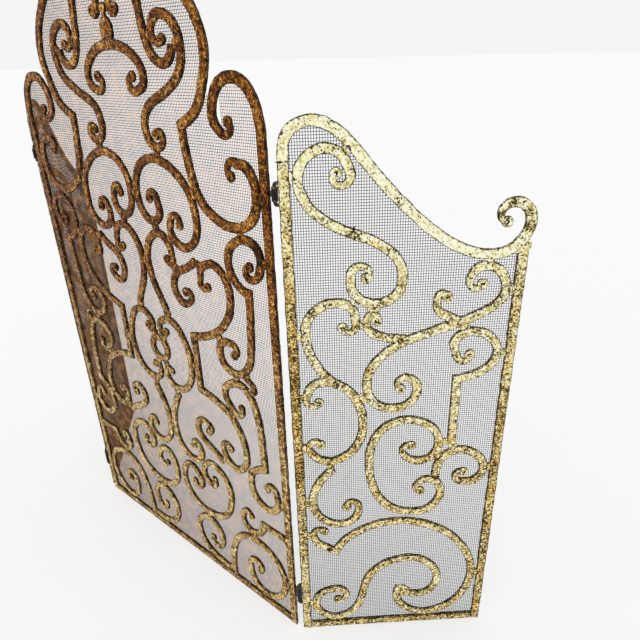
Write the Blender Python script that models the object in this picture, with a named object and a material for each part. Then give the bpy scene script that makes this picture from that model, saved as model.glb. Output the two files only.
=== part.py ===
"""Three-panel folding fireplace screen: flat-bar scrollwork over woven wire, in metres.

The tall arched centre panel stands in the XZ plane and faces -Y. A lower wing hangs on each side
of it on two barrel hinges whose pins stand on vertical axes, and both wings rest folded back
towards +Y. Every bar is flat stock laid with its wide face to the front. The wire sheets lie
against the back faces of the bars.
"""
import math

import bpy
import bmesh
from mathutils import Matrix, Vector

MM = 0.001

# Stock sizes, millimetres.
BAR_DEPTH = 5.0
FRAME_WIDTH = 14.0
SCROLL_WIDTH = 13.0
STUB_WIDTH = 9.0
TIP_WIDTH = 8.0
TAPER_LENGTH = 45.0
SHEET_GAP = 0.3
SHEET_DEPTH = 1.2

# Hinge sizes, millimetres.
HINGE_X = 285.0
WING_FOLD_DEG = 42.0
BARREL_RADIUS = 3.9
BORE_RADIUS = 2.7
PIN_RADIUS = 2.35
PIN_OVERRUN = 6.0
ARM_HEIGHT = 2.8
ARM_INSET = 0.4
ARM_HALF_DEPTH = 1.7
STRAP_HALF_DEPTH = 0.5
STRAP_INSET = 5.0
WELD_GAP = 0.35
UPPER_HINGE = (728.5, 745.5)
LOWER_HINGE = (64.5, 98.5)

# Weld nubs that join touching bars into one piece, millimetres.
NUB_RADIUS = 4.5
NUB_DEPTH = 4.0
NUB_SIDES = 8

# Faceting of the swept bars, and the least cosine that a mitre is divided by.
SAGITTA = 0.65
MAX_TURN_DEG = 33.0
MAX_RUN = 400.0
SAMPLE_STEP = 1.5
ROUND_SIDES = 16
MITRE_FLOOR = 0.35

# The centre's wire sheet leaves the arch below this height and keeps to the stile's scroll beyond
# this distance from the centreline.
SHOULDER_HEIGHT = 850.0
SHOULDER_REACH = 200.0

# The medallion ring: centre height, outer and inner radius.
RING_Z = 448.0
RING_OUTER = 25.5
RING_INNER = 13.0
RING_SIDES = 28

# The ornament on the crown: right half of the leaf's outline from its foot to its point, and the
# height, radius and faceting of the round boss above it.
CROWN_LEAF = ((12.5, 905.2), (13.8, 914.0), (12.6, 921.0), (8.0, 928.0), (0.0, 932.5))
BOSS_Z = 940.4
BOSS_RADIUS = 6.3
BOSS_SIDES = 20

# A bar is (first volute, runs of knots, last volute). A volute is (eye x, eye z, turn in degrees,
# tip radius). Knots are millimetres in the plane of the panel, and two runs meet in a mitred corner.
# In the wings x is measured outwards from the hinge side, in the centre panel from its centreline.
WING_BARS = {
    "hinge_stile": (None, [[(11, 0), (11, 772)]], None),
    "crest": (None, [[(11, 772.6), (11, 782), (13.5, 795), (22, 808), (39, 815.5), (60, 811.5), (81, 796),
                      (100, 774), (120, 750), (140, 728.5), (160, 708.5), (180, 690.5), (200, 675.5),
                      (220, 664), (240, 657), (260, 655), (280, 660), (294, 674), (301, 692), (297, 708.5)]],
              (275.5, 699.5, 215, 6)),
    "outer_stile": (None, [[(296, 0), (296, 657)]], None),
    "bottom_rail": (None, [[(18.5, 7), (288.5, 7)]], None),
    "upper_scroll": ((73, 754, -270, 5),
                     [[(84, 764), (74, 780), (57, 786), (39, 779), (27.5, 762), (27.5, 743), (36, 724),
                       (52, 707), (72, 695), (93, 685.5), (112, 678), (131, 666), (146, 648), (150, 629),
                       (146, 611), (134, 600), (118, 596), (102, 600), (89, 613), (86, 630)]],
                     (101, 634.5, -240, 6)),
    "left_scroll": ((81, 565, -200, 5.5),
                    [[(92, 572), (89.5, 587), (78, 597), (62, 599), (45, 592), (32, 577), (28, 554),
                      (32.5, 530), (42.5, 508), (51.5, 494.5), (60.5, 485.5), (69, 479)]], None),
    "link": ((115, 575.5, -210, 5), [[(108, 577), (106, 566), (112, 556), (124, 549.5), (136, 546),
                                      (147, 544.5), (157, 543.5)]], None),
    "long_scroll": ((245, 619, 190, 6),
                    [[(235, 626.5), (242, 637), (255, 640.5), (269, 635), (278.5, 620.5), (280, 604),
                      (271, 589), (254, 577.5), (233, 568), (207, 559), (182, 550), (160, 542), (140, 531),
                      (122, 515), (110, 495), (107.5, 474), (113, 455), (126, 442), (146, 438), (163, 443),
                      (174, 457), (175, 473), (167, 484)]], (157, 473, 180, 6)),
    "short_curl": ((202, 600, -180, 5.5), [[(195, 598), (194.5, 589), (198, 582), (206, 576), (216, 570.5),
                                            (226, 566)]], None),
    "square_scroll": ((237, 516.5, 190, 6),
                      [[(225, 518), (221, 533), (227, 545), (240, 551), (256, 549), (270, 540), (279, 524),
                        (276, 505), (263, 491.5), (246, 484), (229, 480)],
                       [(229, 480), (229, 376)]], None),
    "great_scroll": ((170, 367, -150, 6),
                     [[(160.5, 359), (168, 350), (182, 345), (198, 349), (209, 364), (210, 383), (200, 402),
                       (184, 413), (164, 417), (142, 412), (124, 396), (114, 372), (112, 345), (114, 318),
                       (121.5, 292), (135, 269), (154, 254), (177, 248), (198, 251), (213, 265), (219, 285),
                       (213, 302), (204, 309.5), (193, 309), (184, 302)]], (189, 294, 140, 6)),
    "right_curl": (None, [[(209, 312), (209.5, 323), (211.5, 335), (217, 347), (227, 356), (241, 361),
                           (258, 357), (272, 346), (279.5, 330), (276, 312), (263, 302), (249, 303)]],
                   (248, 315, -215, 6)),
    "middle_scroll": ((37.5, 455, 190, 5.5),
                      [[(27, 465), (34, 479), (50, 485), (67, 481), (84, 468), (96, 448), (102, 425),
                        (102, 402), (94, 378), (78, 360), (58, 352), (38, 358), (28, 371)]],
                      (38, 379, -190, 5.5)),
    "lower_scroll": (None, [[(60, 337), (46, 323), (35, 305), (29, 284), (31, 261), (42, 243), (60, 231.5),
                             (79, 232), (93, 243), (97, 258)]], (85, 264, 210, 6)),
    "wave": ((40, 213, -170, 5),
             [[(28, 206), (34, 193), (46, 183.5), (62, 174)],
              [(62, 174), (74, 194), (94, 211), (120, 224), (148, 230), (178, 228), (206, 218.5), (233, 202),
               (256, 178), (272, 150), (279.5, 118), (277, 85), (266, 58), (247, 37), (222, 24.5),
               (196, 24.5), (175, 37), (162, 56), (160, 72), (164, 85)]], None),
    "inner_wave": (None, [[(173, 74), (184, 68.5), (199, 67), (216, 77), (225, 98), (221, 121), (206, 140),
                           (183, 150), (157, 148), (133, 136), (116, 117), (107, 92), (102, 66), (94, 44),
                           (78, 28), (58, 22.5), (39, 31), (28, 49), (29, 69), (39, 83), (53, 88)]],
                   (64, 70, -215, 6)),
}
CENTRE_BARS = {
    "stile": (None, [[(270, 0), (270, 780)],
                     [(270, 780), (270, 800), (266.5, 823), (257, 844), (240, 857.5), (222, 859), (207, 853),
                      (195.8, 839), (191, 822), (194, 808), (202, 800.5)]], (213, 808, 190, 5.5)),
    "main_arch": (None, [[(0, 1010), (60, 1003), (113, 983), (156, 951), (182, 915), (188, 885), (182.5, 861),
                          (173.8, 841), (163, 824), (147, 812), (130, 804)],
                         [(130, 804), (132, 780), (136, 755), (144, 725), (156, 707), (174, 694),
                          (196, 686.5), (216, 686), (236, 693), (248.2, 705), (254.2, 722), (254.2, 740),
                          (248.2, 755), (238, 764), (226, 765.5)]], (217, 754, 180, 6)),
    "bottom_rail": (None, [[(0, 7), (262.5, 7)]], None),
    "arch_scroll": ((110, 905, 170, 6),
                    [[(97, 918), (110, 927), (128, 924), (143, 909), (147, 890), (143, 872), (133, 858),
                      (118, 848), (100, 839), (82, 831.5), (65, 822), (54.5, 807), (54, 789), (63, 776),
                      (78, 773.5), (88.5, 783)]], (79, 787, 180, 5)),
    "arch_curl": ((23, 938, 200, 3),
                  [[(15, 941), (14.5, 960), (26, 980), (44, 984), (61, 974), (71, 956), (75, 934), (80, 905),
                    (92, 882), (110, 874), (124, 880), (131, 895)]], None),
    "crown": (None, [[(0, 898), (29, 894), (52, 882), (65, 864), (62, 849), (50, 842.5)]],
              (41, 854, -220, 5.5)),
    "double_c": ((42, 702, 200, 6),
                 [[(54, 700), (57, 685), (48, 671), (31, 668), (17, 677), (8.5, 697), (9.5, 720), (22, 742),
                   (43, 755), (70, 757), (96, 748), (117, 733), (131, 714), (136.5, 690), (134, 664),
                   (120, 646), (102, 639), (85, 645), (76, 658), (79, 674)]], (93, 673, -200, 6)),
    "heart": (None, [[(36, 524), (25, 545), (12, 572), (7.5, 597), (11, 621), (24, 641), (42, 650),
                      (59, 646.5), (68.5, 633), (71, 618)]], (63, 614, -200, 6)),
    "high_s": ((95, 566, 200, 5), [[(99.5, 556), (89, 550), (77, 552), (68, 563), (66, 580), (75, 595),
                                    (92, 605), (110, 614), (122, 624)]], None),
    "cloud": ((138, 592, 180, 6),
              [[(129.5, 597), (132, 612), (145, 623), (160, 626), (175, 619), (186, 603), (189, 582),
                (184, 559), (173, 541), (157, 525), (139, 513), (116, 504), (96, 498)],
               [(96, 498), (96, 403)],
               [(96, 403), (115, 400), (137, 393.5), (160, 381.5), (177, 363), (187, 340), (190, 317),
                (186, 296), (175, 283), (160, 278), (147, 283), (138, 294), (135, 307)]],
              (147, 311, -180, 6)),
    "oval": ((19, 484, 180, 5), [[(9.5, 484), (10, 494), (20, 504), (36, 509), (54, 503), (67, 487),
                                  (77, 465), (79, 441), (75, 416), (64, 397), (46, 384), (29, 382),
                                  (16, 388), (9, 398), (9, 406)]], (18, 409, -180, 5)),
    "low_heart": (None, [[(33, 370), (19, 345), (9, 316), (7.5, 289), (14, 264), (30, 247), (50, 242),
                          (66, 250), (73.5, 267), (68, 281)]], (59, 277, 180, 6)),
    "low_s": ((101, 328, -170, 5), [[(101, 340), (88, 341.5), (77, 332), (74.5, 316), (84, 303), (101, 293),
                                     (117, 284), (131, 275)]], None),
    "side_scroll": ((232.5, 633, -230, 4.5),
                    [[(244, 624), (252, 638), (252.5, 657), (242, 669.5), (226, 672.5), (209, 666),
                      (196, 651), (193.5, 631), (201, 614), (213, 603), (227, 600)],
                     [(227, 600), (225.5, 560), (222.5, 520), (219, 497), (210, 479), (196, 467),
                      (181, 463.5), (166, 468), (156, 481), (155, 497), (162, 508), (175, 511.5)]],
                    (183, 499, -190, 5.5)),
    "side_low": ((184, 402, 180, 6),
                 [[(170, 395), (157, 410), (157, 429), (171, 442), (190, 447.5), (207, 439), (219, 418),
                   (225.5, 390), (228, 350), (229, 310)],
                  [(229, 310), (212, 301), (200, 290), (195, 270), (198, 251), (210, 236), (229, 230),
                   (245, 238), (253, 254), (250, 268)]], (236, 272, 190, 6.5)),
    "side_stub": (None, [[(206, 461.5), (213.5, 459.5), (219.5, 454), (221.5, 447.5), (219.8, 443)]], None),
    "step_scroll": (None, [[(262, 187), (214, 187)],
                           [(214, 187), (208, 170), (198, 160), (185, 156), (171, 162), (165, 176),
                            (168, 190)]], (179, 189, -170, 6)),
    "great_c": ((191, 74, -200, 6),
                [[(176, 84), (171, 65), (174, 45), (187, 28), (206, 22), (226, 29), (243, 45), (253, 67),
                  (253.5, 93), (242, 117), (221, 133), (194, 140), (168, 135), (148, 119), (135, 95),
                  (127, 68), (124, 40), (123, 15)]], None),
    "low_c": (None, [[(114.5, 21.5), (90, 21.5), (66, 27), (46, 41), (34.5, 62), (34.5, 86), (46, 105),
                      (67, 115), (86, 110), (97, 95), (99, 77), (94, 63)]], (77, 67, -180, 6)),
    "low_double": ((95, 216, 180, 6),
                   [[(87, 207), (76.5, 214), (73.5, 230), (80, 245), (95, 254), (113, 251), (129, 238),
                     (138, 218), (138, 192), (130, 168), (115, 148), (94, 136.5), (68, 132), (44, 136),
                     (25, 149), (13.5, 168), (12, 192), (19, 212), (35, 223), (50, 218), (60, 203)]],
                   (46, 191, -190, 6)),
}

# Bars welded into one body each: group name, bars, and the nubs (x, z) between those that do not
# run into each other.
WING_GROUPS = {
    "long_scroll": (("long_scroll", "link", "short_curl"), ()),
    "great_scroll": (("great_scroll", "right_curl"), ()),
    "middle_scroll": (("middle_scroll", "left_scroll"), ()),
}
CENTRE_GROUPS = {
    "arch_scroll": (("arch_scroll", "arch_curl"), ((88.5, 903.3),)),
    "cloud": (("cloud", "high_s", "low_s"), ((127.5, 618.9), (136.5, 280.0))),
    "side_scroll": (("side_scroll", "side_stub"), ((208.0, 466.3),)),
    "great_c": (("great_c", "low_c"), ((115.7, 21.0),)),
}
# Mirrored bars that meet on the centreline: height and radius of the nub between them.
CENTRE_PAIRS = {"double_c": (709.0, NUB_RADIUS), "heart": (598.0, NUB_RADIUS),
                "low_heart": (293.0, NUB_RADIUS), "low_double": (184.0, 8.5)}
OVAL_NUB_HEIGHTS = (489.0, 402.0)
RING_NUBS = ((10.7, 472.4), (10.7, 424.0))

# Vertices closer than this are one vertex, metres.
MERGE_DISTANCE = 1e-6

# Base colour and roughness of each finish.
GOLD = ((0.62, 0.47, 0.16, 1.0), 0.35)
COPPER_GOLD = ((0.48, 0.28, 0.10, 1.0), 0.38)
WIRE_BLACK = ((0.02, 0.02, 0.02, 1.0), 0.55)
HINGE_BLACK = ((0.015, 0.014, 0.013, 1.0), 0.5)


def clear_scene():
    for ob in list(bpy.data.objects):
        bpy.data.objects.remove(ob, do_unlink=True)


def material(name, look):
    """One metallic Principled BSDF material for one sub-part."""
    colour, roughness = look
    mat = bpy.data.materials.new(name)
    mat.use_nodes = True
    shader = mat.node_tree.nodes["Principled BSDF"]
    shader.inputs["Base Color"].default_value = colour
    shader.inputs["Metallic"].default_value = 1.0
    shader.inputs["Roughness"].default_value = roughness
    return mat


def volute(eye, knot, turn_deg, tip_radius):
    """Points of an Archimedean curl from a knot in to the tip radius, the knot left out."""
    dx = knot[0] - eye[0]
    dz = knot[1] - eye[1]
    start = math.atan2(dz, dx)
    radius = math.hypot(dx, dz)
    steps = max(3, int(abs(turn_deg) / MAX_TURN_DEG))
    points = []
    for i in range(1, steps + 1):
        share = i / steps
        angle = start + math.radians(turn_deg) * share
        r = radius + (tip_radius - radius) * share
        points.append((eye[0] + r * math.cos(angle), eye[1] + r * math.sin(angle)))
    return points


def second_derivatives(points, lengths):
    """Second derivatives of the cubic spline with parabolic end spans, by elimination."""
    n = len(points)
    low = [0.0] * n
    diag = [1.0] * n
    high = [0.0] * n
    rhs = [Vector((0.0, 0.0)) for _ in range(n)]
    for i in range(1, n - 1):
        low[i] = lengths[i - 1]
        diag[i] = 2.0 * (lengths[i - 1] + lengths[i])
        high[i] = lengths[i]
        after = (points[i + 1] - points[i]) / lengths[i]
        before = (points[i] - points[i - 1]) / lengths[i - 1]
        rhs[i] = 6.0 * (after - before)
    diag[1] += low[1]
    diag[n - 2] += high[n - 2]
    for i in range(2, n - 1):
        factor = low[i] / diag[i - 1]
        diag[i] -= factor * high[i - 1]
        rhs[i] = rhs[i] - factor * rhs[i - 1]
    out = [Vector((0.0, 0.0)) for _ in range(n)]
    out[n - 2] = rhs[n - 2] / diag[n - 2]
    for i in range(n - 3, 0, -1):
        out[i] = (rhs[i] - high[i] * out[i + 1]) / diag[i]
    out[0] = out[1].copy()
    out[n - 1] = out[n - 2].copy()
    return out


def smooth_run(knots):
    """A run of knots as closely spaced points of one cubic spline."""
    points = [Vector(k) for k in knots]
    if len(points) == 2:
        return points
    lengths = [(b - a).length for a, b in zip(points, points[1:])]
    bends = second_derivatives(points, lengths)
    dense = []
    for i, h in enumerate(lengths):
        steps = max(2, math.ceil(h / SAMPLE_STEP))
        for k in range(steps):
            s = h * k / steps
            t = h - s
            cubic = (bends[i] * t ** 3 + bends[i + 1] * s ** 3) / (6.0 * h)
            linear = (points[i] / h - bends[i] * h / 6.0) * t
            linear += (points[i + 1] / h - bends[i + 1] * h / 6.0) * s
            dense.append(cubic + linear)
    dense.append(points[-1])
    return dense


def thin_out(dense):
    """Keep the points a faceted bar needs: small sagitta, limited turn, limited length."""
    kept = [dense[0]]
    turned = 0.0
    length = 0.0
    for i in range(1, len(dense) - 1):
        step_in = dense[i] - dense[i - 1]
        step_out = dense[i + 1] - dense[i]
        length += step_in.length
        turned += step_in.angle(step_out)
        sagitta = length * turned / 8.0
        if sagitta > SAGITTA or turned > math.radians(MAX_TURN_DEG) or length > MAX_RUN:
            kept.append(dense[i])
            turned = 0.0
            length = 0.0
    if (dense[-1] - kept[-1]).length < SAMPLE_STEP and len(kept) > 1:
        kept.pop()
    kept.append(dense[-1])
    return kept


def bar_path(bar):
    """Faceted centreline of a bar, volutes and mitred corners included."""
    first, runs, last = bar
    path = []
    for i, run in enumerate(runs):
        knots = list(run)
        if i == 0 and first:
            knots = volute(first[:2], knots[0], first[2], first[3])[::-1] + knots
        if i == len(runs) - 1 and last:
            knots = knots + volute(last[:2], knots[-1], last[2], last[3])
        points = thin_out(smooth_run(knots))
        path += points if i == 0 else points[1:]
    return path


def bar_widths(path, bar, width):
    """Width at each point of the path, drawn down towards a curled tip."""
    along = [0.0]
    for a, b in zip(path, path[1:]):
        along.append(along[-1] + (b - a).length)
    widths = []
    for s in along:
        w = width
        if bar[0]:
            w = min(w, TIP_WIDTH + (width - TIP_WIDTH) * min(1.0, s / TAPER_LENGTH))
        if bar[2]:
            w = min(w, TIP_WIDTH + (width - TIP_WIDTH) * min(1.0, (along[-1] - s) / TAPER_LENGTH))
        widths.append(w)
    return widths


def offset_edges(path, widths):
    """Left and right edge points of a bar, mitred at each bend."""
    left = []
    right = []
    for i, point in enumerate(path):
        before = (path[i] - path[i - 1]).normalized() if i else None
        after = (path[i + 1] - path[i]).normalized() if i < len(path) - 1 else before
        before = before or after
        n1 = Vector((-before.y, before.x))
        n2 = Vector((-after.y, after.x))
        mitre = (n1 + n2).normalized()
        reach = widths[i] / 2.0 / max(MITRE_FLOOR, mitre.dot(n1))
        left.append(point + mitre * reach)
        right.append(point - mitre * reach)
    return left, right


def prism_mesh(rings_2d, y_front, y_back):
    """Bar body from its left and right edges between two depths."""
    left, right = rings_2d
    bm = bmesh.new()
    rows = []
    for a, b in zip(left, right):
        rows.append([bm.verts.new((x * MM, y * MM, z * MM))
                     for (x, z), y in ((a, y_front), (b, y_front), (b, y_back), (a, y_back))])
    for r0, r1 in zip(rows, rows[1:]):
        for i in range(4):
            j = (i + 1) % 4
            bm.faces.new((r0[i], r0[j], r1[j], r1[i]))
    bm.faces.new(rows[0][::-1])
    bm.faces.new(rows[-1])
    bmesh.ops.recalc_face_normals(bm, faces=bm.faces)
    return bm


def bar_bmesh(bar, width, mirror=False):
    path = bar_path(bar)
    edges = offset_edges(path, bar_widths(path, bar, width))
    if mirror:
        edges = [[Vector((-p.x, p.y)) for p in side] for side in edges]
    return prism_mesh(edges, -BAR_DEPTH / 2.0, BAR_DEPTH / 2.0)


def mirrored_path_bmesh(bar, width):
    """A bar drawn from the centreline outwards, carried across to its mirror image."""
    path = bar_path(bar)
    widths = bar_widths(path, bar, width)
    whole = [Vector((-p.x, p.y)) for p in path[:0:-1]] + path
    edges = offset_edges(whole, widths[:0:-1] + widths)
    return prism_mesh(edges, -BAR_DEPTH / 2.0, BAR_DEPTH / 2.0)


def plate_bmesh(outline, y_front, y_back):
    """Flat plate with the given outline in the panel plane."""
    bm = bmesh.new()
    verts = [bm.verts.new((x * MM, y_front * MM, z * MM)) for x, z in outline]
    face = bm.faces.new(verts)
    made = bmesh.ops.extrude_face_region(bm, geom=[face])
    moved = [g for g in made["geom"] if isinstance(g, bmesh.types.BMVert)]
    bmesh.ops.translate(bm, vec=(0.0, (y_back - y_front) * MM, 0.0), verts=moved)
    bmesh.ops.triangulate(bm, faces=bm.faces)
    bmesh.ops.recalc_face_normals(bm, faces=bm.faces)
    return bm


def circle(cx, cz, radius, sides):
    step = 2.0 * math.pi / sides
    return [(cx + radius * math.cos(i * step), cz + radius * math.sin(i * step)) for i in range(sides)]


def ring_bmesh():
    """The closed medallion ring."""
    bm = bmesh.new()
    outer = circle(0.0, RING_Z, RING_OUTER, RING_SIDES)
    inner = circle(0.0, RING_Z, RING_INNER, RING_SIDES)
    rows = []
    for (xo, zo), (xi, zi) in zip(outer, inner):
        corners = ((xo, -BAR_DEPTH / 2.0, zo), (xi, -BAR_DEPTH / 2.0, zi),
                   (xi, BAR_DEPTH / 2.0, zi), (xo, BAR_DEPTH / 2.0, zo))
        rows.append([bm.verts.new(Vector(c) * MM) for c in corners])
    for i in range(RING_SIDES):
        r0 = rows[i]
        r1 = rows[(i + 1) % RING_SIDES]
        for k in range(4):
            j = (k + 1) % 4
            bm.faces.new((r0[k], r0[j], r1[j], r1[k]))
    bmesh.ops.recalc_face_normals(bm, faces=bm.faces)
    return bm


def nub_bmesh(x, z, radius=NUB_RADIUS):
    """Weld nub between two bars, a little shallower than the bars."""
    return plate_bmesh(circle(x, z, radius, NUB_SIDES), -NUB_DEPTH / 2.0, NUB_DEPTH / 2.0)


def cylinder_bmesh(radius, z0, z1):
    """Upright round rod about the local Z axis."""
    bm = bmesh.new()
    bmesh.ops.create_cone(bm, cap_ends=True, segments=ROUND_SIDES, radius1=radius * MM,
                          radius2=radius * MM, depth=(z1 - z0) * MM,
                          matrix=Matrix.Translation((0.0, 0.0, (z0 + z1) / 2.0 * MM)))
    return bm


def box_bmesh(x0, x1, y0, y1, z0, z1):
    bm = bmesh.new()
    bmesh.ops.create_cube(bm, size=1.0)
    bmesh.ops.scale(bm, vec=((x1 - x0) * MM, (y1 - y0) * MM, (z1 - z0) * MM), verts=bm.verts)
    middle = Vector(((x0 + x1) / 2.0, (y0 + y1) / 2.0, (z0 + z1) / 2.0)) * MM
    bmesh.ops.translate(bm, vec=middle, verts=bm.verts)
    return bm


def add_object(name, bm):
    mesh = bpy.data.meshes.new(name)
    bm.to_mesh(mesh)
    bm.free()
    ob = bpy.data.objects.new(name, mesh)
    bpy.context.scene.collection.objects.link(ob)
    return ob


def combine(name, first, others, operation="UNION"):
    """Boolean the other bodies into the first one and bake the result as a single mesh."""
    base = add_object(name, first)
    for i, other in enumerate(others):
        tool = add_object(f"{name}_tool_{i}", other)
        mod = base.modifiers.new("join", "BOOLEAN")
        mod.operation = operation
        mod.solver = "EXACT"
        mod.object = tool
        bpy.context.view_layer.update()
        baked = bpy.data.meshes.new_from_object(base.evaluated_get(bpy.context.evaluated_depsgraph_get()))
        base.modifiers.clear()
        base.data = baked
        bpy.data.objects.remove(tool, do_unlink=True)
    return base


def finish(ob, look):
    """Give a finished body its own material and clean mesh."""
    bm = bmesh.new()
    bm.from_mesh(ob.data)
    bmesh.ops.remove_doubles(bm, verts=bm.verts, dist=MERGE_DISTANCE)
    bmesh.ops.triangulate(bm, faces=bm.faces)
    bmesh.ops.recalc_face_normals(bm, faces=bm.faces)
    bm.to_mesh(ob.data)
    bm.free()
    ob.data.materials.clear()
    ob.data.materials.append(material(ob.name, look))
    return ob


def frame_width(name):
    frame = ("hinge_stile", "crest", "outer_stile", "bottom_rail", "stile", "main_arch")
    if name in frame:
        return FRAME_WIDTH
    return STUB_WIDTH if name == "side_stub" else SCROLL_WIDTH


def panel_bar(bars, name, mirror=False):
    return bar_bmesh(bars[name], frame_width(name), mirror)


def group_object(bars, label, members, nubs, mirror):
    """Several bars welded into one body, directly or through nubs."""
    side = -1.0 if mirror else 1.0
    bodies = [panel_bar(bars, m, mirror) for m in members]
    welds = [nub_bmesh(side * x, z) for x, z in nubs]
    return combine(label, bodies[0], welds + bodies[1:])


def build_wing(side, sign):
    """One wing in its own frame: pin axis at the origin, panel running outwards along X."""
    mirror = sign < 0
    made = []
    grouped = {m for members, _ in WING_GROUPS.values() for m in members}
    for name in WING_BARS:
        if name in grouped:
            continue
        made.append(add_object(f"wing_{side}_{name}", panel_bar(WING_BARS, name, mirror)))
    for name, (members, nubs) in WING_GROUPS.items():
        made.append(group_object(WING_BARS, f"wing_{side}_{name}", members, nubs, mirror))
    for ob in made:
        finish(ob, GOLD)
    sheet = plate_bmesh([(sign * x, z) for x, z in wing_sheet_outline()], *sheet_depths())
    made.append(finish(add_object(f"wing_{side}_wire_sheet", sheet), WIRE_BLACK))
    for level, span in (("upper", UPPER_HINGE), ("lower", LOWER_HINGE)):
        made.append(finish(hinge_pin(f"hinge_pin_{side}_{level}", span, sign), HINGE_BLACK))
    for ob in made:
        ob.location = (sign * HINGE_X * MM, 0.0, 0.0)
        ob.rotation_euler = (0.0, 0.0, sign * math.radians(WING_FOLD_DEG))


def sheet_depths():
    front = BAR_DEPTH / 2.0 + SHEET_GAP
    return front, front + SHEET_DEPTH


def wing_sheet_outline():
    """The wire sheet follows the middle of the wing's frame bars."""
    stile_x = WING_BARS["hinge_stile"][1][0][0][0]
    outer_x = WING_BARS["outer_stile"][1][0][0][0]
    rail_z = WING_BARS["bottom_rail"][1][0][0][1]
    crest = smooth_run(WING_BARS["crest"][1][0])
    top = [(p.x, p.y) for p in thin_out([p for p in crest if p.x < outer_x - SAMPLE_STEP])]
    rising = [p for i, p in enumerate(top) if i == 0 or p[0] > top[i - 1][0]]
    return [(stile_x, rail_z), (outer_x, rail_z)] + rising[::-1]


def centre_sheet_outline():
    """The wire sheet follows the stiles, the shoulders and the main arch."""
    stile_x = CENTRE_BARS["stile"][1][0][0][0]
    rail_z = CENTRE_BARS["bottom_rail"][1][0][0][1]
    arch = thin_out(smooth_run(CENTRE_BARS["main_arch"][1][0]))
    shoulder = thin_out(smooth_run(CENTRE_BARS["stile"][1][1]))
    half = [(p.x, p.y) for p in arch if p.y > SHOULDER_HEIGHT]
    half += [(p.x, p.y) for p in shoulder[::-1] if p.x > SHOULDER_REACH]
    half += [(stile_x, rail_z)]
    return half + [(-x, z) for x, z in half[::-1] if x > 0.0]


def hinge_barrel(name, span, sign):
    """Bored barrel with the strap that carries it on the centre stile."""
    low, high = span
    barrel = cylinder_bmesh(BARREL_RADIUS, low, high)
    stile_edge = CENTRE_BARS["stile"][1][0][0][0] + FRAME_WIDTH / 2.0 + WELD_GAP - HINGE_X
    inner = -(BARREL_RADIUS + BORE_RADIUS) / 2.0
    strap = box_bmesh(stile_edge, inner, -STRAP_HALF_DEPTH, STRAP_HALF_DEPTH,
                      low + STRAP_INSET, high - STRAP_INSET)
    ob = combine(name, barrel, [strap])
    bore = cylinder_bmesh(BORE_RADIUS, low - STRAP_INSET, high + STRAP_INSET)
    whole = bmesh.new()
    whole.from_mesh(ob.data)
    bpy.data.objects.remove(ob, do_unlink=True)
    ob = combine(name, whole, [bore], "DIFFERENCE")
    if sign < 0:
        for v in ob.data.vertices:
            v.co.x = -v.co.x
    ob.location = (sign * HINGE_X * MM, 0.0, 0.0)
    return ob


def hinge_pin(name, span, sign):
    """Straight pin with an arm above and below the barrel, both reaching for the wing stile."""
    low, high = span
    pin = cylinder_bmesh(PIN_RADIUS, low - PIN_OVERRUN, high + PIN_OVERRUN)
    stile_edge = WING_BARS["hinge_stile"][1][0][0][0] - FRAME_WIDTH / 2.0 - WELD_GAP
    arms = []
    x0, x1 = (0.0, stile_edge) if sign > 0 else (-stile_edge, 0.0)
    for z in (low - PIN_OVERRUN + ARM_INSET, high + PIN_OVERRUN - ARM_INSET - ARM_HEIGHT):
        arms.append(box_bmesh(x0, x1, -ARM_HALF_DEPTH, ARM_HALF_DEPTH, z, z + ARM_HEIGHT))
    return combine(name, pin, arms)


def build_centre():
    made = []
    grouped = {m for members, _ in CENTRE_GROUPS.values() for m in members}
    for name in ("stile", "side_low", "step_scroll"):
        for side, mirror in (("right", False), ("left", True)):
            made.append(add_object(f"centre_{name}_{side}", panel_bar(CENTRE_BARS, name, mirror)))
    for name, (members, nubs) in CENTRE_GROUPS.items():
        for side, mirror in (("right", False), ("left", True)):
            made.append(group_object(CENTRE_BARS, f"centre_{name}_{side}", members, nubs, mirror))
    for name in ("main_arch", "bottom_rail", "crown"):
        whole = mirrored_path_bmesh(CENTRE_BARS[name], frame_width(name))
        made.append(add_object(f"centre_{name}", whole))
    for name, (z, radius) in CENTRE_PAIRS.items():
        pair = [panel_bar(CENTRE_BARS, name, mirror) for mirror in (False, True)]
        made.append(combine(f"centre_{name}", nub_bmesh(0.0, z, radius), pair))
    made.append(medallion())
    made += crown_ornament()
    for ob in made:
        finish(ob, COPPER_GOLD)
    sheet = plate_bmesh(centre_sheet_outline(), *sheet_depths())
    finish(add_object("centre_wire_sheet", sheet), WIRE_BLACK)
    for side, sign in (("right", 1.0), ("left", -1.0)):
        for level, span in (("upper", UPPER_HINGE), ("lower", LOWER_HINGE)):
            finish(hinge_barrel(f"hinge_barrel_{side}_{level}", span, sign), HINGE_BLACK)


def crown_ornament():
    """The pointed leaf that stands on the crown and the boss over its point."""
    leaf = list(CROWN_LEAF) + [(-x, z) for x, z in CROWN_LEAF[-2::-1]]
    boss = circle(0.0, BOSS_Z, BOSS_RADIUS, BOSS_SIDES)
    return [add_object(name, plate_bmesh(outline, -BAR_DEPTH / 2.0, BAR_DEPTH / 2.0))
            for name, outline in (("centre_crown_leaf", leaf), ("centre_crown_boss", boss))]


def medallion():
    """Two mirrored ovals and the ring they hold, welded together."""
    ovals = [panel_bar(CENTRE_BARS, "oval", mirror) for mirror in (False, True)]
    welds = [nub_bmesh(0.0, z) for z in OVAL_NUB_HEIGHTS]
    welds += [nub_bmesh(side * x, z) for x, z in RING_NUBS for side in (1.0, -1.0)]
    return combine("centre_medallion", ring_bmesh(), welds[2:] + ovals + welds[:2])


def main():
    clear_scene()
    build_centre()
    build_wing("right", 1.0)
    build_wing("left", -1.0)


main()
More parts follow.
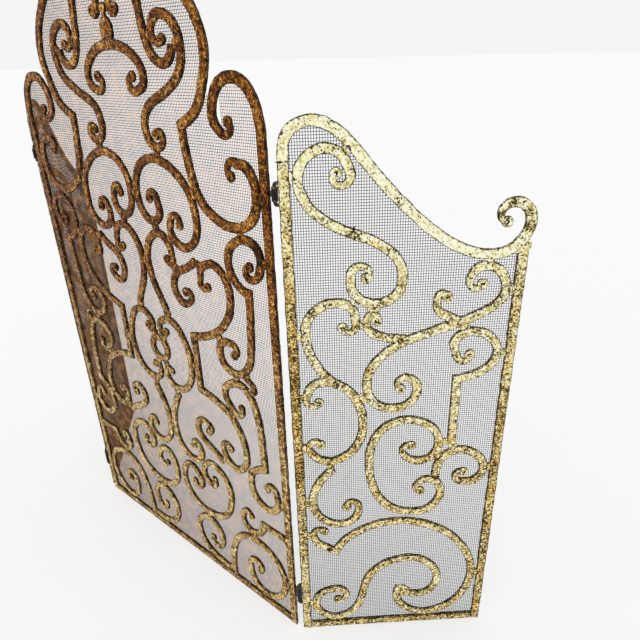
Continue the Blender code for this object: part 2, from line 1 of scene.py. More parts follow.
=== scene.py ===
"""Looks of the folding fireplace screen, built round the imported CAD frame.

Every bar of the scrollwork is rebuilt as a forged flat bar with eased, hammered edges and a
rounded tip, the plates that stand for the wire cloth become woven wires, and the weld beads that
join bar to bar are added. Bars are laid out in millimetres in the plane of their panel, as in the
CAD source, and carried into the row frame by the panel's own placement.
"""
import math
from collections import namedtuple

import bmesh
import bpy
import numpy as np
from mathutils import Matrix, Vector, noise


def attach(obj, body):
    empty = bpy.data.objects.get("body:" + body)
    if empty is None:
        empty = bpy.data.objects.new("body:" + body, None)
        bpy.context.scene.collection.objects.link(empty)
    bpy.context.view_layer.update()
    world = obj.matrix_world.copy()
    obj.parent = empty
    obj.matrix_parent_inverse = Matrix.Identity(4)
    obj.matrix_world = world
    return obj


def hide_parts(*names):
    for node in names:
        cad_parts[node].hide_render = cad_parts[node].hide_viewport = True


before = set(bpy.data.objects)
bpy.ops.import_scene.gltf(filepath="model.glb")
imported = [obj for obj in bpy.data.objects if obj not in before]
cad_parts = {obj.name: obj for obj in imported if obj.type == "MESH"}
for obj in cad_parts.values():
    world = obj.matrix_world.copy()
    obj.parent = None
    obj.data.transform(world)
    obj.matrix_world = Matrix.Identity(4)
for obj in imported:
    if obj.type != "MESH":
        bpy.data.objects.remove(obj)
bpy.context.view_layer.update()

MM = 0.001
HINGE_X = 285.0
WING_FOLD_DEG = 42.0
BAR_DEPTH = 5.0
FRAME_WIDTH = 14.0
SCROLL_WIDTH = 13.0
STUB_WIDTH = 9.0
TIP_WIDTH = 8.0
TAPER_LENGTH = 45.0
SHEET_Y = 3.4
RING_Z = 448.0
RING_OUTER = 25.5
RING_INNER = 13.0
CROWN_LEAF = ((12.5, 905.2), (13.8, 914.0), (12.6, 921.0), (8.0, 928.0), (0.0, 932.5))
BOSS_Z = 940.4
BOSS_RADIUS = 6.3

# Sampling of the forged bars, millimetres; END_STEPS are shares of the length that an end rounds off.
RING_STEP = 2.0
SPLINE_STEP = 0.5
TANGENT_STEP = 0.4
MITRE_MARGIN = 0.5
END_STEPS = np.array([0.02, 0.08, 0.2, 0.38, 0.6, 0.8])

# Forging marks, millimetres: eased edges, rounded tips and cut ends, dished faces, dents.
EDGE_RADIUS = 1.25
TIP_FLAT = 0.3
CUT_REACH = 0.8
CUT_NARROWING = 1.2
FACE_DISH = 0.072
FACE_SETBACK = 0.12
DENT_DEPTH = 0.4
DENT_WAVES = 0.13
# The wander of a bar's edges: size, waves to a millimetre, and lane of the noise; then how far the
# edges are set back from the true width, and how far they may wander in and out.
EDGE_WANDER = ((0.9, 0.05, 0.0), (0.8, 0.17, 5.0))
EDGE_SETBACK = 0.2
EDGE_LIMITS = (-0.7, 0.15)

# Woven wire cloth, millimetres; a piece of it holds about as many bends as its limit.
PITCH_X = 3.1
PITCH_Z = 3.5
WIRE_RADIUS = 0.34
CRIMP = 0.3
BENDS_TO_A_PIECE = 22000

# Curl ends and welds, millimetres.
TIP_BEAD_RADIUS = 7.3
WELD_GAP = 5.6
WELD_SPACING = 32.0
WELD_SOOT = 8.0
# A fillet weld laps onto its bars, and its half length varies; a butt weld is a thin, proud ridge.
WELD_LAP = 4.6
WELD_HALF_LENGTH = 6.8
WELD_VARIATION = 1.6
BUTT_RIDGE = 0.8
BUTT_PROUD = 0.5
END_WELD_REACH = 16.0
END_WELD_CLEARANCE = 9.0
FOOT_CORNER = 16.0
# The weld beads at the bottom corners stay this far off the floor.
FOOT_CLEARANCE = 0.4
# Butt welds across a bar: x, z, reach and spread of their soot.
WING_BUTT_WELDS = ((89.0, 690.5, 6.0, 17.0), (52.0, 180.0, 6.0, 8.0), (7.5, 772.3, 4.5, 4.0))
# Corners filled with weld: x, z, reach, width and angle in degrees.
CENTRE_FILLS = ((9.5, 904.6, 3.0, 2.0, 90.0), (-9.5, 904.6, 3.0, 2.0, 90.0), (0.0, 932.8, 2.5, 3.0, 90.0))
WING_FILLS = ((295.0, 660.0, 9.0, 4.5, 25.0), (300.5, 663.0, 8.0, 4.2, 72.0))
# Stretches of bar where the leaf is scorched or rubbed off: x, z and spread.
CENTRE_SCORCH = ((247.0, 664.0, 15.0), (253.0, 652.0, 16.0))
WING_SCORCH = ((266.0, 700.0, 14.0), (276.0, 716.0, 12.0), (300.0, 688.0, 13.0), (298.0, 706.0, 10.0))

# Leaf tone of single bars against the rest, and how far one bar differs from the next.
BAR_TONES = {"crest": 0.06, "outer_stile": -0.08, "bottom_rail": -0.08, "stile": -0.02}
TONE_SPREAD = 0.025
# Stretches of deeper leaf: bar, then height of the middle, half height in millimetres, and tone.
DEEP_BANDS = {"hinge_stile": (500.0, 230.0, -0.22)}

# A bar is (first volute, runs of knots, last volute). A volute is (eye x, eye z, turn in degrees,
# tip radius). Knots are millimetres in the plane of the panel, and two runs meet in a mitred corner.
# In the wings x is measured outwards from the hinge side, in the centre panel from its centreline.
WING_BARS = {
    "hinge_stile": (None, [[(11, 0), (11, 772)]], None),
    "crest": (None, [[(11, 772.6), (11, 782), (13.5, 795), (22, 808), (39, 815.5), (60, 811.5), (81, 796),
        (100, 774), (120, 750), (140, 728.5), (160, 708.5), (180, 690.5), (200, 675.5), (220, 664),
        (240, 657), (260, 655), (280, 660), (294, 674), (301, 692), (297, 708.5)]], (275.5, 699.5, 215, 6)),
    "outer_stile": (None, [[(296, 0), (296, 657)]], None),
    "bottom_rail": (None, [[(18.5, 7), (288.5, 7)]], None),
    "upper_scroll": ((73, 754, -270, 5), [[(84, 764), (74, 780), (57, 786), (39, 779), (27.5, 762),
        (27.5, 743), (36, 724), (52, 707), (72, 695), (93, 685.5), (112, 678), (131, 666), (146, 648),
        (150, 629), (146, 611), (134, 600), (118, 596), (102, 600), (89, 613), (86, 630)]],
        (101, 634.5, -240, 6)),
    "left_scroll": ((81, 565, -200, 5.5), [[(92, 572), (89.5, 587), (78, 597), (62, 599), (45, 592),
        (32, 577), (28, 554), (32.5, 530), (42.5, 508), (51.5, 494.5), (60.5, 485.5), (69, 479)]], None),
    "link": ((115, 575.5, -210, 5), [[(108, 577), (106, 566), (112, 556), (124, 549.5), (136, 546),
        (147, 544.5), (157, 543.5)]], None),
    "long_scroll": ((245, 619, 190, 6), [[(235, 626.5), (242, 637), (255, 640.5), (269, 635),
        (278.5, 620.5), (280, 604), (271, 589), (254, 577.5), (233, 568), (207, 559), (182, 550),
        (160, 542), (140, 531), (122, 515), (110, 495), (107.5, 474), (113, 455), (126, 442), (146, 438),
        (163, 443), (174, 457), (175, 473), (167, 484)]], (157, 473, 180, 6)),
    "short_curl": ((202, 600, -180, 5.5), [[(195, 598), (194.5, 589), (198, 582), (206, 576), (216, 570.5),
        (226, 566)]], None),
    "square_scroll": ((237, 516.5, 190, 6), [[(225, 518), (221, 533), (227, 545), (240, 551), (256, 549),
        (270, 540), (279, 524), (276, 505), (263, 491.5), (246, 484), (229, 480)], [(229, 480),
        (229, 376)]], None),
    "great_scroll": ((170, 367, -150, 6), [[(160.5, 359), (168, 350), (182, 345), (198, 349), (209, 364),
        (210, 383), (200, 402), (184, 413), (164, 417), (142, 412), (124, 396), (114, 372), (112, 345),
        (114, 318), (121.5, 292), (135, 269), (154, 254), (177, 248), (198, 251), (213, 265), (219, 285),
        (213, 302), (204, 309.5), (193, 309), (184, 302)]], (189, 294, 140, 6)),
    "right_curl": (None, [[(209, 312), (209.5, 323), (211.5, 335), (217, 347), (227, 356), (241, 361),
        (258, 357), (272, 346), (279.5, 330), (276, 312), (263, 302), (249, 303)]], (248, 315, -215, 6)),
    "middle_scroll": ((37.5, 455, 190, 5.5), [[(27, 465), (34, 479), (50, 485), (67, 481), (84, 468),
        (96, 448), (102, 425), (102, 402), (94, 378), (78, 360), (58, 352), (38, 358), (28, 371)]],
        (38, 379, -190, 5.5)),
    "lower_scroll": (None, [[(60, 337), (46, 323), (35, 305), (29, 284), (31, 261), (42, 243), (60, 231.5),
        (79, 232), (93, 243), (97, 258)]], (85, 264, 210, 6)),
    "wave": ((40, 213, -170, 5), [[(28, 206), (34, 193), (46, 183.5), (62, 174)], [(62, 174), (74, 194),
        (94, 211), (120, 224), (148, 230), (178, 228), (206, 218.5), (233, 202), (256, 178), (272, 150),
        (279.5, 118), (277, 85), (266, 58), (247, 37), (222, 24.5), (196, 24.5), (175, 37), (162, 56),
        (160, 72), (164, 85)]], None),
    "inner_wave": (None, [[(173, 74), (184, 68.5), (199, 67), (216, 77), (225, 98), (221, 121), (206, 140),
        (183, 150), (157, 148), (133, 136), (116, 117), (107, 92), (102, 66), (94, 44), (78, 28),
        (58, 22.5), (39, 31), (28, 49), (29, 69), (39, 83), (53, 88)]], (64, 70, -215, 6)),
}
CENTRE_BARS = {
    "stile": (None, [[(270, 0), (270, 780)], [(270, 780), (270, 800), (266.5, 823), (257, 844),
        (240, 857.5), (222, 859), (207, 853), (195.8, 839), (191, 822), (194, 808), (202, 800.5)]],
        (213, 808, 190, 5.5)),
    "main_arch": (None, [[(0, 1010), (60, 1003), (113, 983), (156, 951), (182, 915), (188, 885),
        (182.5, 861), (173.8, 841), (163, 824), (147, 812), (130, 804)], [(130, 804), (132, 780),
        (136, 755), (144, 725), (156, 707), (174, 694), (196, 686.5), (216, 686), (236, 693), (248.2, 705),
        (254.2, 722), (254.2, 740), (248.2, 755), (238, 764), (226, 765.5)]], (217, 754, 180, 6)),
    "bottom_rail": (None, [[(0, 7), (262.5, 7)]], None),
    "arch_scroll": ((110, 905, 170, 6), [[(97, 918), (110, 927), (128, 924), (143, 909), (147, 890),
        (143, 872), (133, 858), (118, 848), (100, 839), (82, 831.5), (65, 822), (54.5, 807), (54, 789),
        (63, 776), (78, 773.5), (88.5, 783)]], (79, 787, 180, 5)),
    "arch_curl": ((23, 938, 200, 3), [[(15, 941), (14.5, 960), (26, 980), (44, 984), (61, 974), (71, 956),
        (75, 934), (80, 905), (92, 882), (110, 874), (124, 880), (131, 895)]], None),
    "crown": (None, [[(0, 898), (29, 894), (52, 882), (65, 864), (62, 849), (50, 842.5)]],
        (41, 854, -220, 5.5)),
    "double_c": ((42, 702, 200, 6), [[(54, 700), (57, 685), (48, 671), (31, 668), (17, 677), (8.5, 697),
        (9.5, 720), (22, 742), (43, 755), (70, 757), (96, 748), (117, 733), (131, 714), (136.5, 690),
        (134, 664), (120, 646), (102, 639), (85, 645), (76, 658), (79, 674)]], (93, 673, -200, 6)),
    "heart": (None, [[(36, 524), (25, 545), (12, 572), (7.5, 597), (11, 621), (24, 641), (42, 650),
        (59, 646.5), (68.5, 633), (71, 618)]], (63, 614, -200, 6)),
    "high_s": ((95, 566, 200, 5), [[(99.5, 556), (89, 550), (77, 552), (68, 563), (66, 580), (75, 595),
        (92, 605), (110, 614), (122, 624)]], None),
    "cloud": ((138, 592, 180, 6), [[(129.5, 597), (132, 612), (145, 623), (160, 626), (175, 619),
        (186, 603), (189, 582), (184, 559), (173, 541), (157, 525), (139, 513), (116, 504), (96, 498)],
        [(96, 498), (96, 403)], [(96, 403), (115, 400), (137, 393.5), (160, 381.5), (177, 363), (187, 340),
        (190, 317), (186, 296), (175, 283), (160, 278), (147, 283), (138, 294), (135, 307)]],
        (147, 311, -180, 6)),
    "oval": ((19, 484, 180, 5), [[(9.5, 484), (10, 494), (20, 504), (36, 509), (54, 503), (67, 487),
        (77, 465), (79, 441), (75, 416), (64, 397), (46, 384), (29, 382), (16, 388), (9, 398), (9, 406)]],
        (18, 409, -180, 5)),
    "low_heart": (None, [[(33, 370), (19, 345), (9, 316), (7.5, 289), (14, 264), (30, 247), (50, 242),
        (66, 250), (73.5, 267), (68, 281)]], (59, 277, 180, 6)),
    "low_s": ((101, 328, -170, 5), [[(101, 340), (88, 341.5), (77, 332), (74.5, 316), (84, 303), (101, 293),
        (117, 284), (131, 275)]], None),
    "side_scroll": ((232.5, 633, -230, 4.5), [[(244, 624), (252, 638), (252.5, 657), (242, 669.5),
        (226, 672.5), (209, 666), (196, 651), (193.5, 631), (201, 614), (213, 603), (227, 600)],
        [(227, 600), (225.5, 560), (222.5, 520), (219, 497), (210, 479), (196, 467), (181, 463.5),
        (166, 468), (156, 481), (155, 497), (162, 508), (175, 511.5)]], (183, 499, -190, 5.5)),
    "side_low": ((184, 402, 180, 6), [[(170, 395), (157, 410), (157, 429), (171, 442), (190, 447.5),
        (207, 439), (219, 418), (225.5, 390), (228, 350), (229, 310)], [(229, 310), (212, 301), (200, 290),
        (195, 270), (198, 251), (210, 236), (229, 230), (245, 238), (253, 254), (250, 268)]],
        (236, 272, 190, 6.5)),
    "side_stub": (None, [[(206, 461.5), (213.5, 459.5), (219.5, 454), (221.5, 447.5), (219.8, 443)]], None),
    "step_scroll": (None, [[(262, 187), (214, 187)], [(214, 187), (208, 170), (198, 160), (185, 156),
        (171, 162), (165, 176), (168, 190)]], (179, 189, -170, 6)),
    "great_c": ((191, 74, -200, 6), [[(176, 84), (171, 65), (174, 45), (187, 28), (206, 22), (226, 29),
        (243, 45), (253, 67), (253.5, 93), (242, 117), (221, 133), (194, 140), (168, 135), (148, 119),
        (135, 95), (127, 68), (124, 40), (123, 15)]], None),
    "low_c": (None, [[(114.5, 21.5), (90, 21.5), (66, 27), (46, 41), (34.5, 62), (34.5, 86), (46, 105),
        (67, 115), (86, 110), (97, 95), (99, 77), (94, 63)]], (77, 67, -180, 6)),
    "low_double": ((95, 216, 180, 6), [[(87, 207), (76.5, 214), (73.5, 230), (80, 245), (95, 254),
        (113, 251), (129, 238), (138, 218), (138, 192), (130, 168), (115, 148), (94, 136.5), (68, 132),
        (44, 136), (25, 149), (13.5, 168), (12, 192), (19, 212), (35, 223), (50, 218), (60, 203)]],
        (46, 191, -190, 6)),
}

FRAME_BARS = ("hinge_stile", "crest", "outer_stile", "bottom_rail", "stile", "main_arch")
# Frame bars that run on into each other end to end, with no weld bead showing.
FRAME_CORNERS = ({"hinge_stile", "crest"}, {"outer_stile", "crest"})
# CAD nodes made of several bars each.
WING_GROUPS = {"long_scroll": ("long_scroll", "link", "short_curl"),
               "great_scroll": ("great_scroll", "right_curl"),
               "middle_scroll": ("middle_scroll", "left_scroll")}
CENTRE_GROUPS = {"arch_scroll": ("arch_scroll", "arch_curl"),
                 "cloud": ("cloud", "high_s", "low_s"),
                 "side_scroll": ("side_scroll", "side_stub"),
                 "great_c": ("great_c", "low_c")}
# Bars of the centre panel that cross its centreline in one length.
CENTRE_WHOLE = ("main_arch", "bottom_rail", "crown")
# Bars that make one CAD node with their mirror image, and the node's name.
CENTRE_PAIRS = {"double_c": "double_c", "heart": "heart", "oval": "medallion", "low_heart": "low_heart",
                "low_double": "low_double"}
SIDES = (("right", 1.0), ("left", -1.0))

# Where a bar's profile runs: shares of the half width and half depth, and the corner direction.
CORNER = [(math.cos(a), math.sin(a)) for a in (math.radians(-67), math.radians(-23))]
PROFILE = ([(f, -1.0, 0.0, -1.0) for f in (-1.0, -0.5, 0.0, 0.5, 1.0)]
           + [(1.0, -1.0, c, s) for c, s in CORNER]
           + [(1.0, -1.0, 1.0, 0.0), (1.0, 1.0, 1.0, 0.0)]
           + [(1.0, 1.0, c, -s) for c, s in CORNER[::-1]]
           + [(f, 1.0, 0.0, 1.0) for f in (1.0, 0.35, -0.35, -1.0)]
           + [(-1.0, 1.0, -c, -s) for c, s in CORNER]
           + [(-1.0, 1.0, -1.0, 0.0), (-1.0, -1.0, -1.0, 0.0)]
           + [(-1.0, -1.0, -c, s) for c, s in CORNER[::-1]])
# How bare the metal is across the front: on the face, by share of the half width, and round the edge, where
# the dark is rubbed leaf and painted shade on the edges that turn from the light.
FACE_WEAR = {0.0: 0.0, 0.5: 0.06}
RIM_WEAR_AND_SHADE = {0.0: 0.42, 1.0: 0.4}
CORNER_WEAR_AND_SHADE = (0.62, 0.8)
BACK_WEAR = (0.75, 1.0)

# Where a piece goes: its placement, the body that it rides on, and its slot and material.
Site = namedtuple("Site", "place body slot material")


# ---- paths

def volute(eye, knot, turn_deg, tip_radius):
    """Points of a curl from a knot in to the tip radius, the knot left out."""
    dx = knot[0] - eye[0]
    dz = knot[1] - eye[1]
    start = math.atan2(dz, dx)
    radius = math.hypot(dx, dz)
    steps = max(3, int(abs(turn_deg) / 30.0))
    out = []
    for i in range(1, steps + 1):
        share = i / steps
        angle = start + math.radians(turn_deg) * share
        r = radius + (tip_radius - radius) * share
        out.append((eye[0] + r * math.cos(angle), eye[1] + r * math.sin(angle)))
    return out


def smooth_run(knots):
    """A run of knots as a finely sampled cubic spline."""
    p = np.array(knots, float)
    h = np.linalg.norm(np.diff(p, axis=0), axis=1)
    if len(p) == 2:
        count = max(2, int(h[0] / SPLINE_STEP))
        return p[0] + (p[1] - p[0]) * np.linspace(0, 1, count + 1)[:, None]
    n = len(p)
    a = np.zeros((n, n))
    b = np.zeros((n, 2))
    a[0, :2] = (1, -1)
    a[-1, -2:] = (-1, 1)
    for i in range(1, n - 1):
        a[i, i - 1:i + 2] = (h[i - 1], 2 * (h[i - 1] + h[i]), h[i])
        b[i] = 6 * ((p[i + 1] - p[i]) / h[i] - (p[i] - p[i - 1]) / h[i - 1])
    m = np.linalg.solve(a, b)
    out = []
    for i in range(n - 1):
        s = np.linspace(0, h[i], max(2, int(h[i] / SPLINE_STEP)) + 1)[:-1, None]
        t = h[i] - s
        out.append((m[i] * t ** 3 + m[i + 1] * s ** 3) / (6 * h[i])
                   + (p[i] / h[i] - m[i] * h[i] / 6) * t + (p[i + 1] / h[i] - m[i + 1] * h[i] / 6) * s)
    return np.vstack(out + [p[-1:]])


def first_knot(bar):
    return bar[1][0][0]


def dense_runs(bar):
    first, runs, last = bar
    out = []
    for i, run in enumerate(runs):
        knots = list(run)
        if i == 0 and first:
            knots = volute(first[:2], knots[0], first[2], first[3])[::-1] + knots
        if i == len(runs) - 1 and last:
            knots = knots + volute(last[:2], knots[-1], last[2], last[3])
        out.append(smooth_run(knots))
    return out


def unit_circle(count):
    a = 2 * math.pi * np.arange(count) / count
    return np.stack([np.cos(a), np.sin(a)], axis=1)


def unit(rows):
    return rows / np.linalg.norm(rows, axis=-1, keepdims=True)


def arc_lengths(p):
    return np.concatenate([[0.0], np.cumsum(np.linalg.norm(np.diff(p, axis=0), axis=1))])


def points_at(p, s_all, s):
    return np.stack([np.interp(s, s_all, p[:, 0]), np.interp(s, s_all, p[:, 1])], axis=1)


def width_of(name):
    if name in FRAME_BARS:
        return FRAME_WIDTH
    return STUB_WIDTH if name == "side_stub" else SCROLL_WIDTH


def end_reach(curl):
    """The length over which an end rounds off: a curl's tip, or the eased edge of a cut end."""
    return TIP_WIDTH / 2 if curl else CUT_REACH


def end_widths(widths, curl, dist):
    """Bring the widths in towards one end: a taper and a round tip on a curl, else an eased cut."""
    if curl:
        reach = end_reach(curl)
        taper = TIP_WIDTH + (widths.max() - TIP_WIDTH) * np.clip(dist / TAPER_LENGTH, 0, 1)
        widths = np.minimum(widths, taper)
        left = reach - np.clip(dist, 0, reach)
        round_end = 2 * np.sqrt(np.maximum(reach * reach - left ** 2, 0.0)) + TIP_FLAT
        return np.where(dist < reach, np.minimum(widths, round_end), widths)
    left = 1 - np.clip(dist / CUT_REACH, 0, 1)
    return widths - CUT_NARROWING * (1 - np.sqrt(np.maximum(1 - left ** 2, 0)))


def stations(bar, width, from_middle=False):
    """Centre points, tangents, mitre stretch and widths of the rings of one bar.

    from_middle leaves the first end of the bar open, because a mirror image continues it.
    """
    first, _, last = bar
    runs = dense_runs(bar)
    ends = [r[-1] - r[-4] for r in runs]
    starts = [r[3] - r[0] for r in runs]
    turns = [abs(math.atan2(a[0] * b[1] - a[1] * b[0], a @ b)) for a, b in zip(ends, starts[1:])]
    trims = [0.0] + [width / 2 * math.tan(turn / 2) + MITRE_MARGIN for turn in turns] + [0.0]
    points = []
    tangents = []
    stretch = []
    for i, run in enumerate(runs):
        s_all = arc_lengths(run)
        total = s_all[-1]
        low, high = trims[i], total - trims[i + 1]
        s = np.linspace(low, high, max(2, int(round((high - low) / RING_STEP))) + 1)
        if i == 0 and not from_middle:
            s = np.concatenate([END_STEPS * end_reach(first), s])
        if i == len(runs) - 1:
            s = np.concatenate([s, total - END_STEPS * end_reach(last)])
        s = np.unique(np.round(s, 4))
        if i:
            points.append(run[:1])
            tangents.append(unit(unit(ends[i - 1]) + unit(starts[i]))[None])
            stretch.append([1 / math.cos(turns[i - 1] / 2)])
        ahead = points_at(run, s_all, np.minimum(s + TANGENT_STEP, total))
        behind = points_at(run, s_all, np.maximum(s - TANGENT_STEP, 0))
        points.append(points_at(run, s_all, s))
        tangents.append(unit(ahead - behind))
        stretch.append(np.ones(len(s)))
    points = np.vstack(points)
    s = arc_lengths(points)
    widths = np.full(len(s), width)
    if not from_middle:
        widths = end_widths(widths, first, s)
    widths = end_widths(widths, last, s[-1] - s)
    return points, np.vstack(tangents), np.concatenate(stretch), widths


def whole_stations(bar, width):
    """The stations of a bar drawn from the centreline outwards, with its mirror image."""
    points, tangents, stretch, widths = stations(bar, width, from_middle=True)
    flip = np.array([-1.0, 1.0])
    return (np.vstack([points[:0:-1] * flip, points]), np.vstack([tangents[:0:-1] * -flip, tangents]),
            np.concatenate([stretch[:0:-1], stretch]), np.concatenate([widths[:0:-1], widths]))


# ---- meshes

class Build:
    """Collects the vertices, faces, edge wear with its painted edge shade, and leaf tone of one visible
    piece.
    """

    def __init__(self, mirror=False):
        self.mirror = mirror
        self.co = []
        self.wear = []
        self.tone = []
        self.faces = []
        self.count = 0

    def add(self, co, wear, faces, tone=0.0):
        flip = np.array([-1.0 if self.mirror else 1.0, 1.0, 1.0])
        self.co.append(np.asarray(co, float) * flip)
        self.wear.append(np.asarray(wear, float).ravel())
        self.tone.append(np.full(len(co), tone))
        self.faces += [tuple(i + self.count for i in f) for f in faces]
        self.count += len(co)


def rings_to_faces(n_rings, n_side, closed=False):
    faces = []
    last = n_rings if closed else n_rings - 1
    for i in range(last):
        a = i * n_side
        b = ((i + 1) % n_rings) * n_side
        for j in range(n_side):
            k = (j + 1) % n_side
            faces.append((a + j, a + k, b + k, b + j))
    return faces


def closed_skin(n_rings, n_side, start, first, last):
    """Faces over rings whose vertices begin at start, drawn in to a first and a last vertex."""
    faces = [tuple(start + i for i in f) for f in rings_to_faces(n_rings, n_side)]
    end = start + (n_rings - 1) * n_side
    for j in range(n_side):
        k = (j + 1) % n_side
        faces.append((first, start + k, start + j))
        faces.append((last, end + j, end + k))
    return faces


def along_noise(s, waves, seed, lane):
    return np.array([noise.noise(Vector((v * waves, seed, lane))) for v in s])


def forged_rings(points, tangents, stretch, widths, seed):
    """Ring vertices and wear of a flat bar with eased edges and a light hammered relief; the wear on the
    eased edges also paints their shade.
    """
    normals = np.stack([-tangents[:, 1], tangents[:, 0]], axis=1)
    co = np.zeros((len(points), len(PROFILE), 3))
    wear = np.zeros((len(points), len(PROFILE)))
    s = arc_lengths(points)
    edges = {side: sum(size * along_noise(s, waves, seed, side + lane) for size, waves, lane in EDGE_WANDER)
             for side in (-1.0, 1.0)}
    dents = DENT_DEPTH * along_noise(s, DENT_WAVES, seed, 7.1)
    half = widths / 2
    ease = np.minimum(EDGE_RADIUS, half * 0.6)
    room = np.clip(half - 2.0, 0, 1)
    for j, (f, g, ex, et) in enumerate(PROFILE):
        across = f * (half - ease) + ex * ease
        if abs(f) == 1.0:
            across = across + f * np.clip(edges[f] - EDGE_SETBACK, *EDGE_LIMITS) * room
        co[:, j, ::2] = points + normals * (across * stretch)[:, None]
        co[:, j, 1] = g * (BAR_DEPTH / 2 - EDGE_RADIUS) + et * EDGE_RADIUS
        if abs(et) > 0.9:
            dish = FACE_DISH * (1 - f * f) if g < 0 else 0.0
            co[:, j, 1] += g * (dents * (1.0 - 0.5 * abs(f)) - dish - FACE_SETBACK)
        if g > 0:
            wear[:, j] = BACK_WEAR[abs(ex) == 1.0]
        # The eased edges are darkened: rubbed leaf, and painted shade on the edges that turn from the
        # light.
        elif abs(f) == 1.0:
            wear[:, j] = RIM_WEAR_AND_SHADE.get(abs(ex), CORNER_WEAR_AND_SHADE[abs(et) <= 0.6])
        else:
            wear[:, j] = FACE_WEAR[abs(f)]
    return co, wear


def lay_bar(build, laid, name, seed):
    """Skin the rings of a bar, and return the tone of its leaf."""
    co, wear = forged_rings(*laid, seed)
    n, k, _ = co.shape
    co = np.vstack([co.reshape(-1, 3), co[0].mean(axis=0), co[-1].mean(axis=0)])
    tone = BAR_TONES.get(name, 0.0) + TONE_SPREAD * math.sin(seed * 5.1)
    shade = tone
    if name in DEEP_BANDS:
        middle, half, deeper = DEEP_BANDS[name]
        shade = tone + deeper * np.exp(-((co[:, 2] - middle) / half) ** 2)
    build.add(co, np.append(wear, (0.5, 0.5)), closed_skin(n, k, 0, n * k, n * k + 1), shade)
    return tone


def add_bar(build, bar, name, seed):
    laid = stations(bar, width_of(name))
    tone = lay_bar(build, laid, name, seed)
    for curl, station in ((bar[0], 0), (bar[2], -1)):
        if curl:
            add_tip(build, laid[0][station], seed + station, tone)


def add_whole_bar(build, bar, name, seed):
    """A bar drawn from the centreline outwards, with its mirror image, as one length."""
    laid = whole_stations(bar, width_of(name))
    tone = lay_bar(build, laid, name, seed)
    if bar[2]:
        add_tip(build, laid[0][0], seed, tone)
        add_tip(build, laid[0][-1], seed + 1, tone)


def add_tip(build, centre, seed, tone, sides=20):
    """The rolled eye that ends a curl: a thick round bead with a dimple in each face; the dimple is painted
    dark as the shade in the eye's hollow, and the bead's rim is darkened like the bar edges.
    """
    # Each row: share of the bead's radius, depth of the face, and how dark it is painted; the dark in the
    # dimple is painted shade.
    profile = [(r * TIP_BEAD_RADIUS, d, w) for r, d, w in
               ((0.0, 1.0, 1.0), (0.2, 1.2, 1.0), (0.32, 2.4, 0.6), (0.5, 3.0, 0.0), (0.72, 2.8, 0.05),
                (0.9, 2.0, 0.35), (0.98, 1.0, 0.8), (1.0, 0.0, 1.0))]
    rows = [(r, -d, w) for r, d, w in profile] + [(r, d, max(w, 0.7)) for r, d, w in profile[-2::-1]]
    lumps = [(c, s, 1.0 + 0.07 * noise.noise(Vector((c, s, seed * 1.7)))) for c, s in unit_circle(sides)]
    x, z = centre
    co = [(x, rows[0][1], z)]
    wear = [1.0]
    for r, d, w in rows[1:-1]:
        co += [(x + r * k * c, d, z + r * k * s) for c, s, k in lumps]
        wear += [w] * sides
    co.append((x, rows[-1][1], z))
    wear.append(1.0)
    build.add(co, wear, closed_skin(len(rows) - 2, sides, 1, 0, len(co) - 1), tone)


def add_bead(build, x, z, reach, along, angle, seed, proud=-0.15, bareness=0.25):
    """A weld bead on the joint of two bars: a lumpy blob across it, flattened level with the bars."""
    bm = bmesh.new()
    bmesh.ops.create_icosphere(bm, subdivisions=3, radius=1.0)
    co = []
    wear = []
    for v in bm.verts:
        lump = 1.0 + 0.3 * noise.noise(v.co * 1.9 + Vector((seed * 3.1, seed, 0.0)))
        u = v.co.x * reach * lump
        w = v.co.z * along * lump
        d = math.copysign(abs(v.co.y) ** 0.4, v.co.y) * (BAR_DEPTH / 2 + proud)
        co.append((x + u * math.cos(angle) - w * math.sin(angle), d,
                   max(FOOT_CLEARANCE, z + u * math.sin(angle) + w * math.cos(angle))))
        wear.append(max(bareness, 0.7 * abs(v.co.z) ** 6))
    faces = [tuple(v.index for v in f.verts) for f in bm.faces]
    bm.free()
    build.add(co, wear, faces)


def add_dome(build, outline, seed):
    """A cast ornament: a plate of the given outline, swelling to a low dome with eased edges."""
    p = np.array(outline)
    middle = p.mean(axis=0)
    co = []
    wear = []
    # The rim is darkened like the bar edges: rubbed leaf and painted shade.
    for scale, depth, worn in ((0.0, -4.0, 0.0), (0.35, -3.8, 0.0), (0.65, -3.2, 0.05), (0.88, -2.4, 0.35),
                               (0.98, -1.5, 0.7), (1.0, 0.0, 1.0), (0.98, 1.6, 1.0), (0.88, 2.3, 0.8),
                               (0.0, 2.4, 0.6)):
        ring = middle + (p - middle) * scale if scale else middle[None]
        for x, z in ring:
            lump = 0.3 * scale * noise.noise(Vector((x * 0.3, z * 0.3, seed)))
            co.append((x, depth + lump, z))
            wear.append(worn)
    rings = (len(co) - 2) // len(p)
    build.add(co, wear, closed_skin(rings, len(p), 1, 0, len(co) - 1), 0.05)


def add_ring(build, sides=72):
    """The flat ring in the middle of the medallion."""
    circle = unit_circle(sides)
    points = circle * (RING_OUTER + RING_INNER) / 2 + (0, RING_Z)
    tangents = np.stack([-circle[:, 1], circle[:, 0]], axis=1)
    widths = np.full(sides, RING_OUTER - RING_INNER)
    co, wear = forged_rings(points, tangents, np.ones(sides), widths, 77.0)
    build.add(co.reshape(-1, 3), wear, rings_to_faces(sides, len(PROFILE), closed=True))


def soot_at(co, spots):
    """How far heat or rubbing has darkened each point, from 1 at the middle of a spot to 0."""
    soot = np.zeros(len(co))
    for x, z, spread in spots:
        dist = np.hypot(co[:, 0] - x, co[:, 2] - z)
        soot = np.maximum(soot, np.clip(1.25 - dist / spread, 0, 1))
    return soot


def add_object(name, data):
    ob = bpy.data.objects.new(name, data)
    bpy.context.scene.collection.objects.link(ob)
    return ob


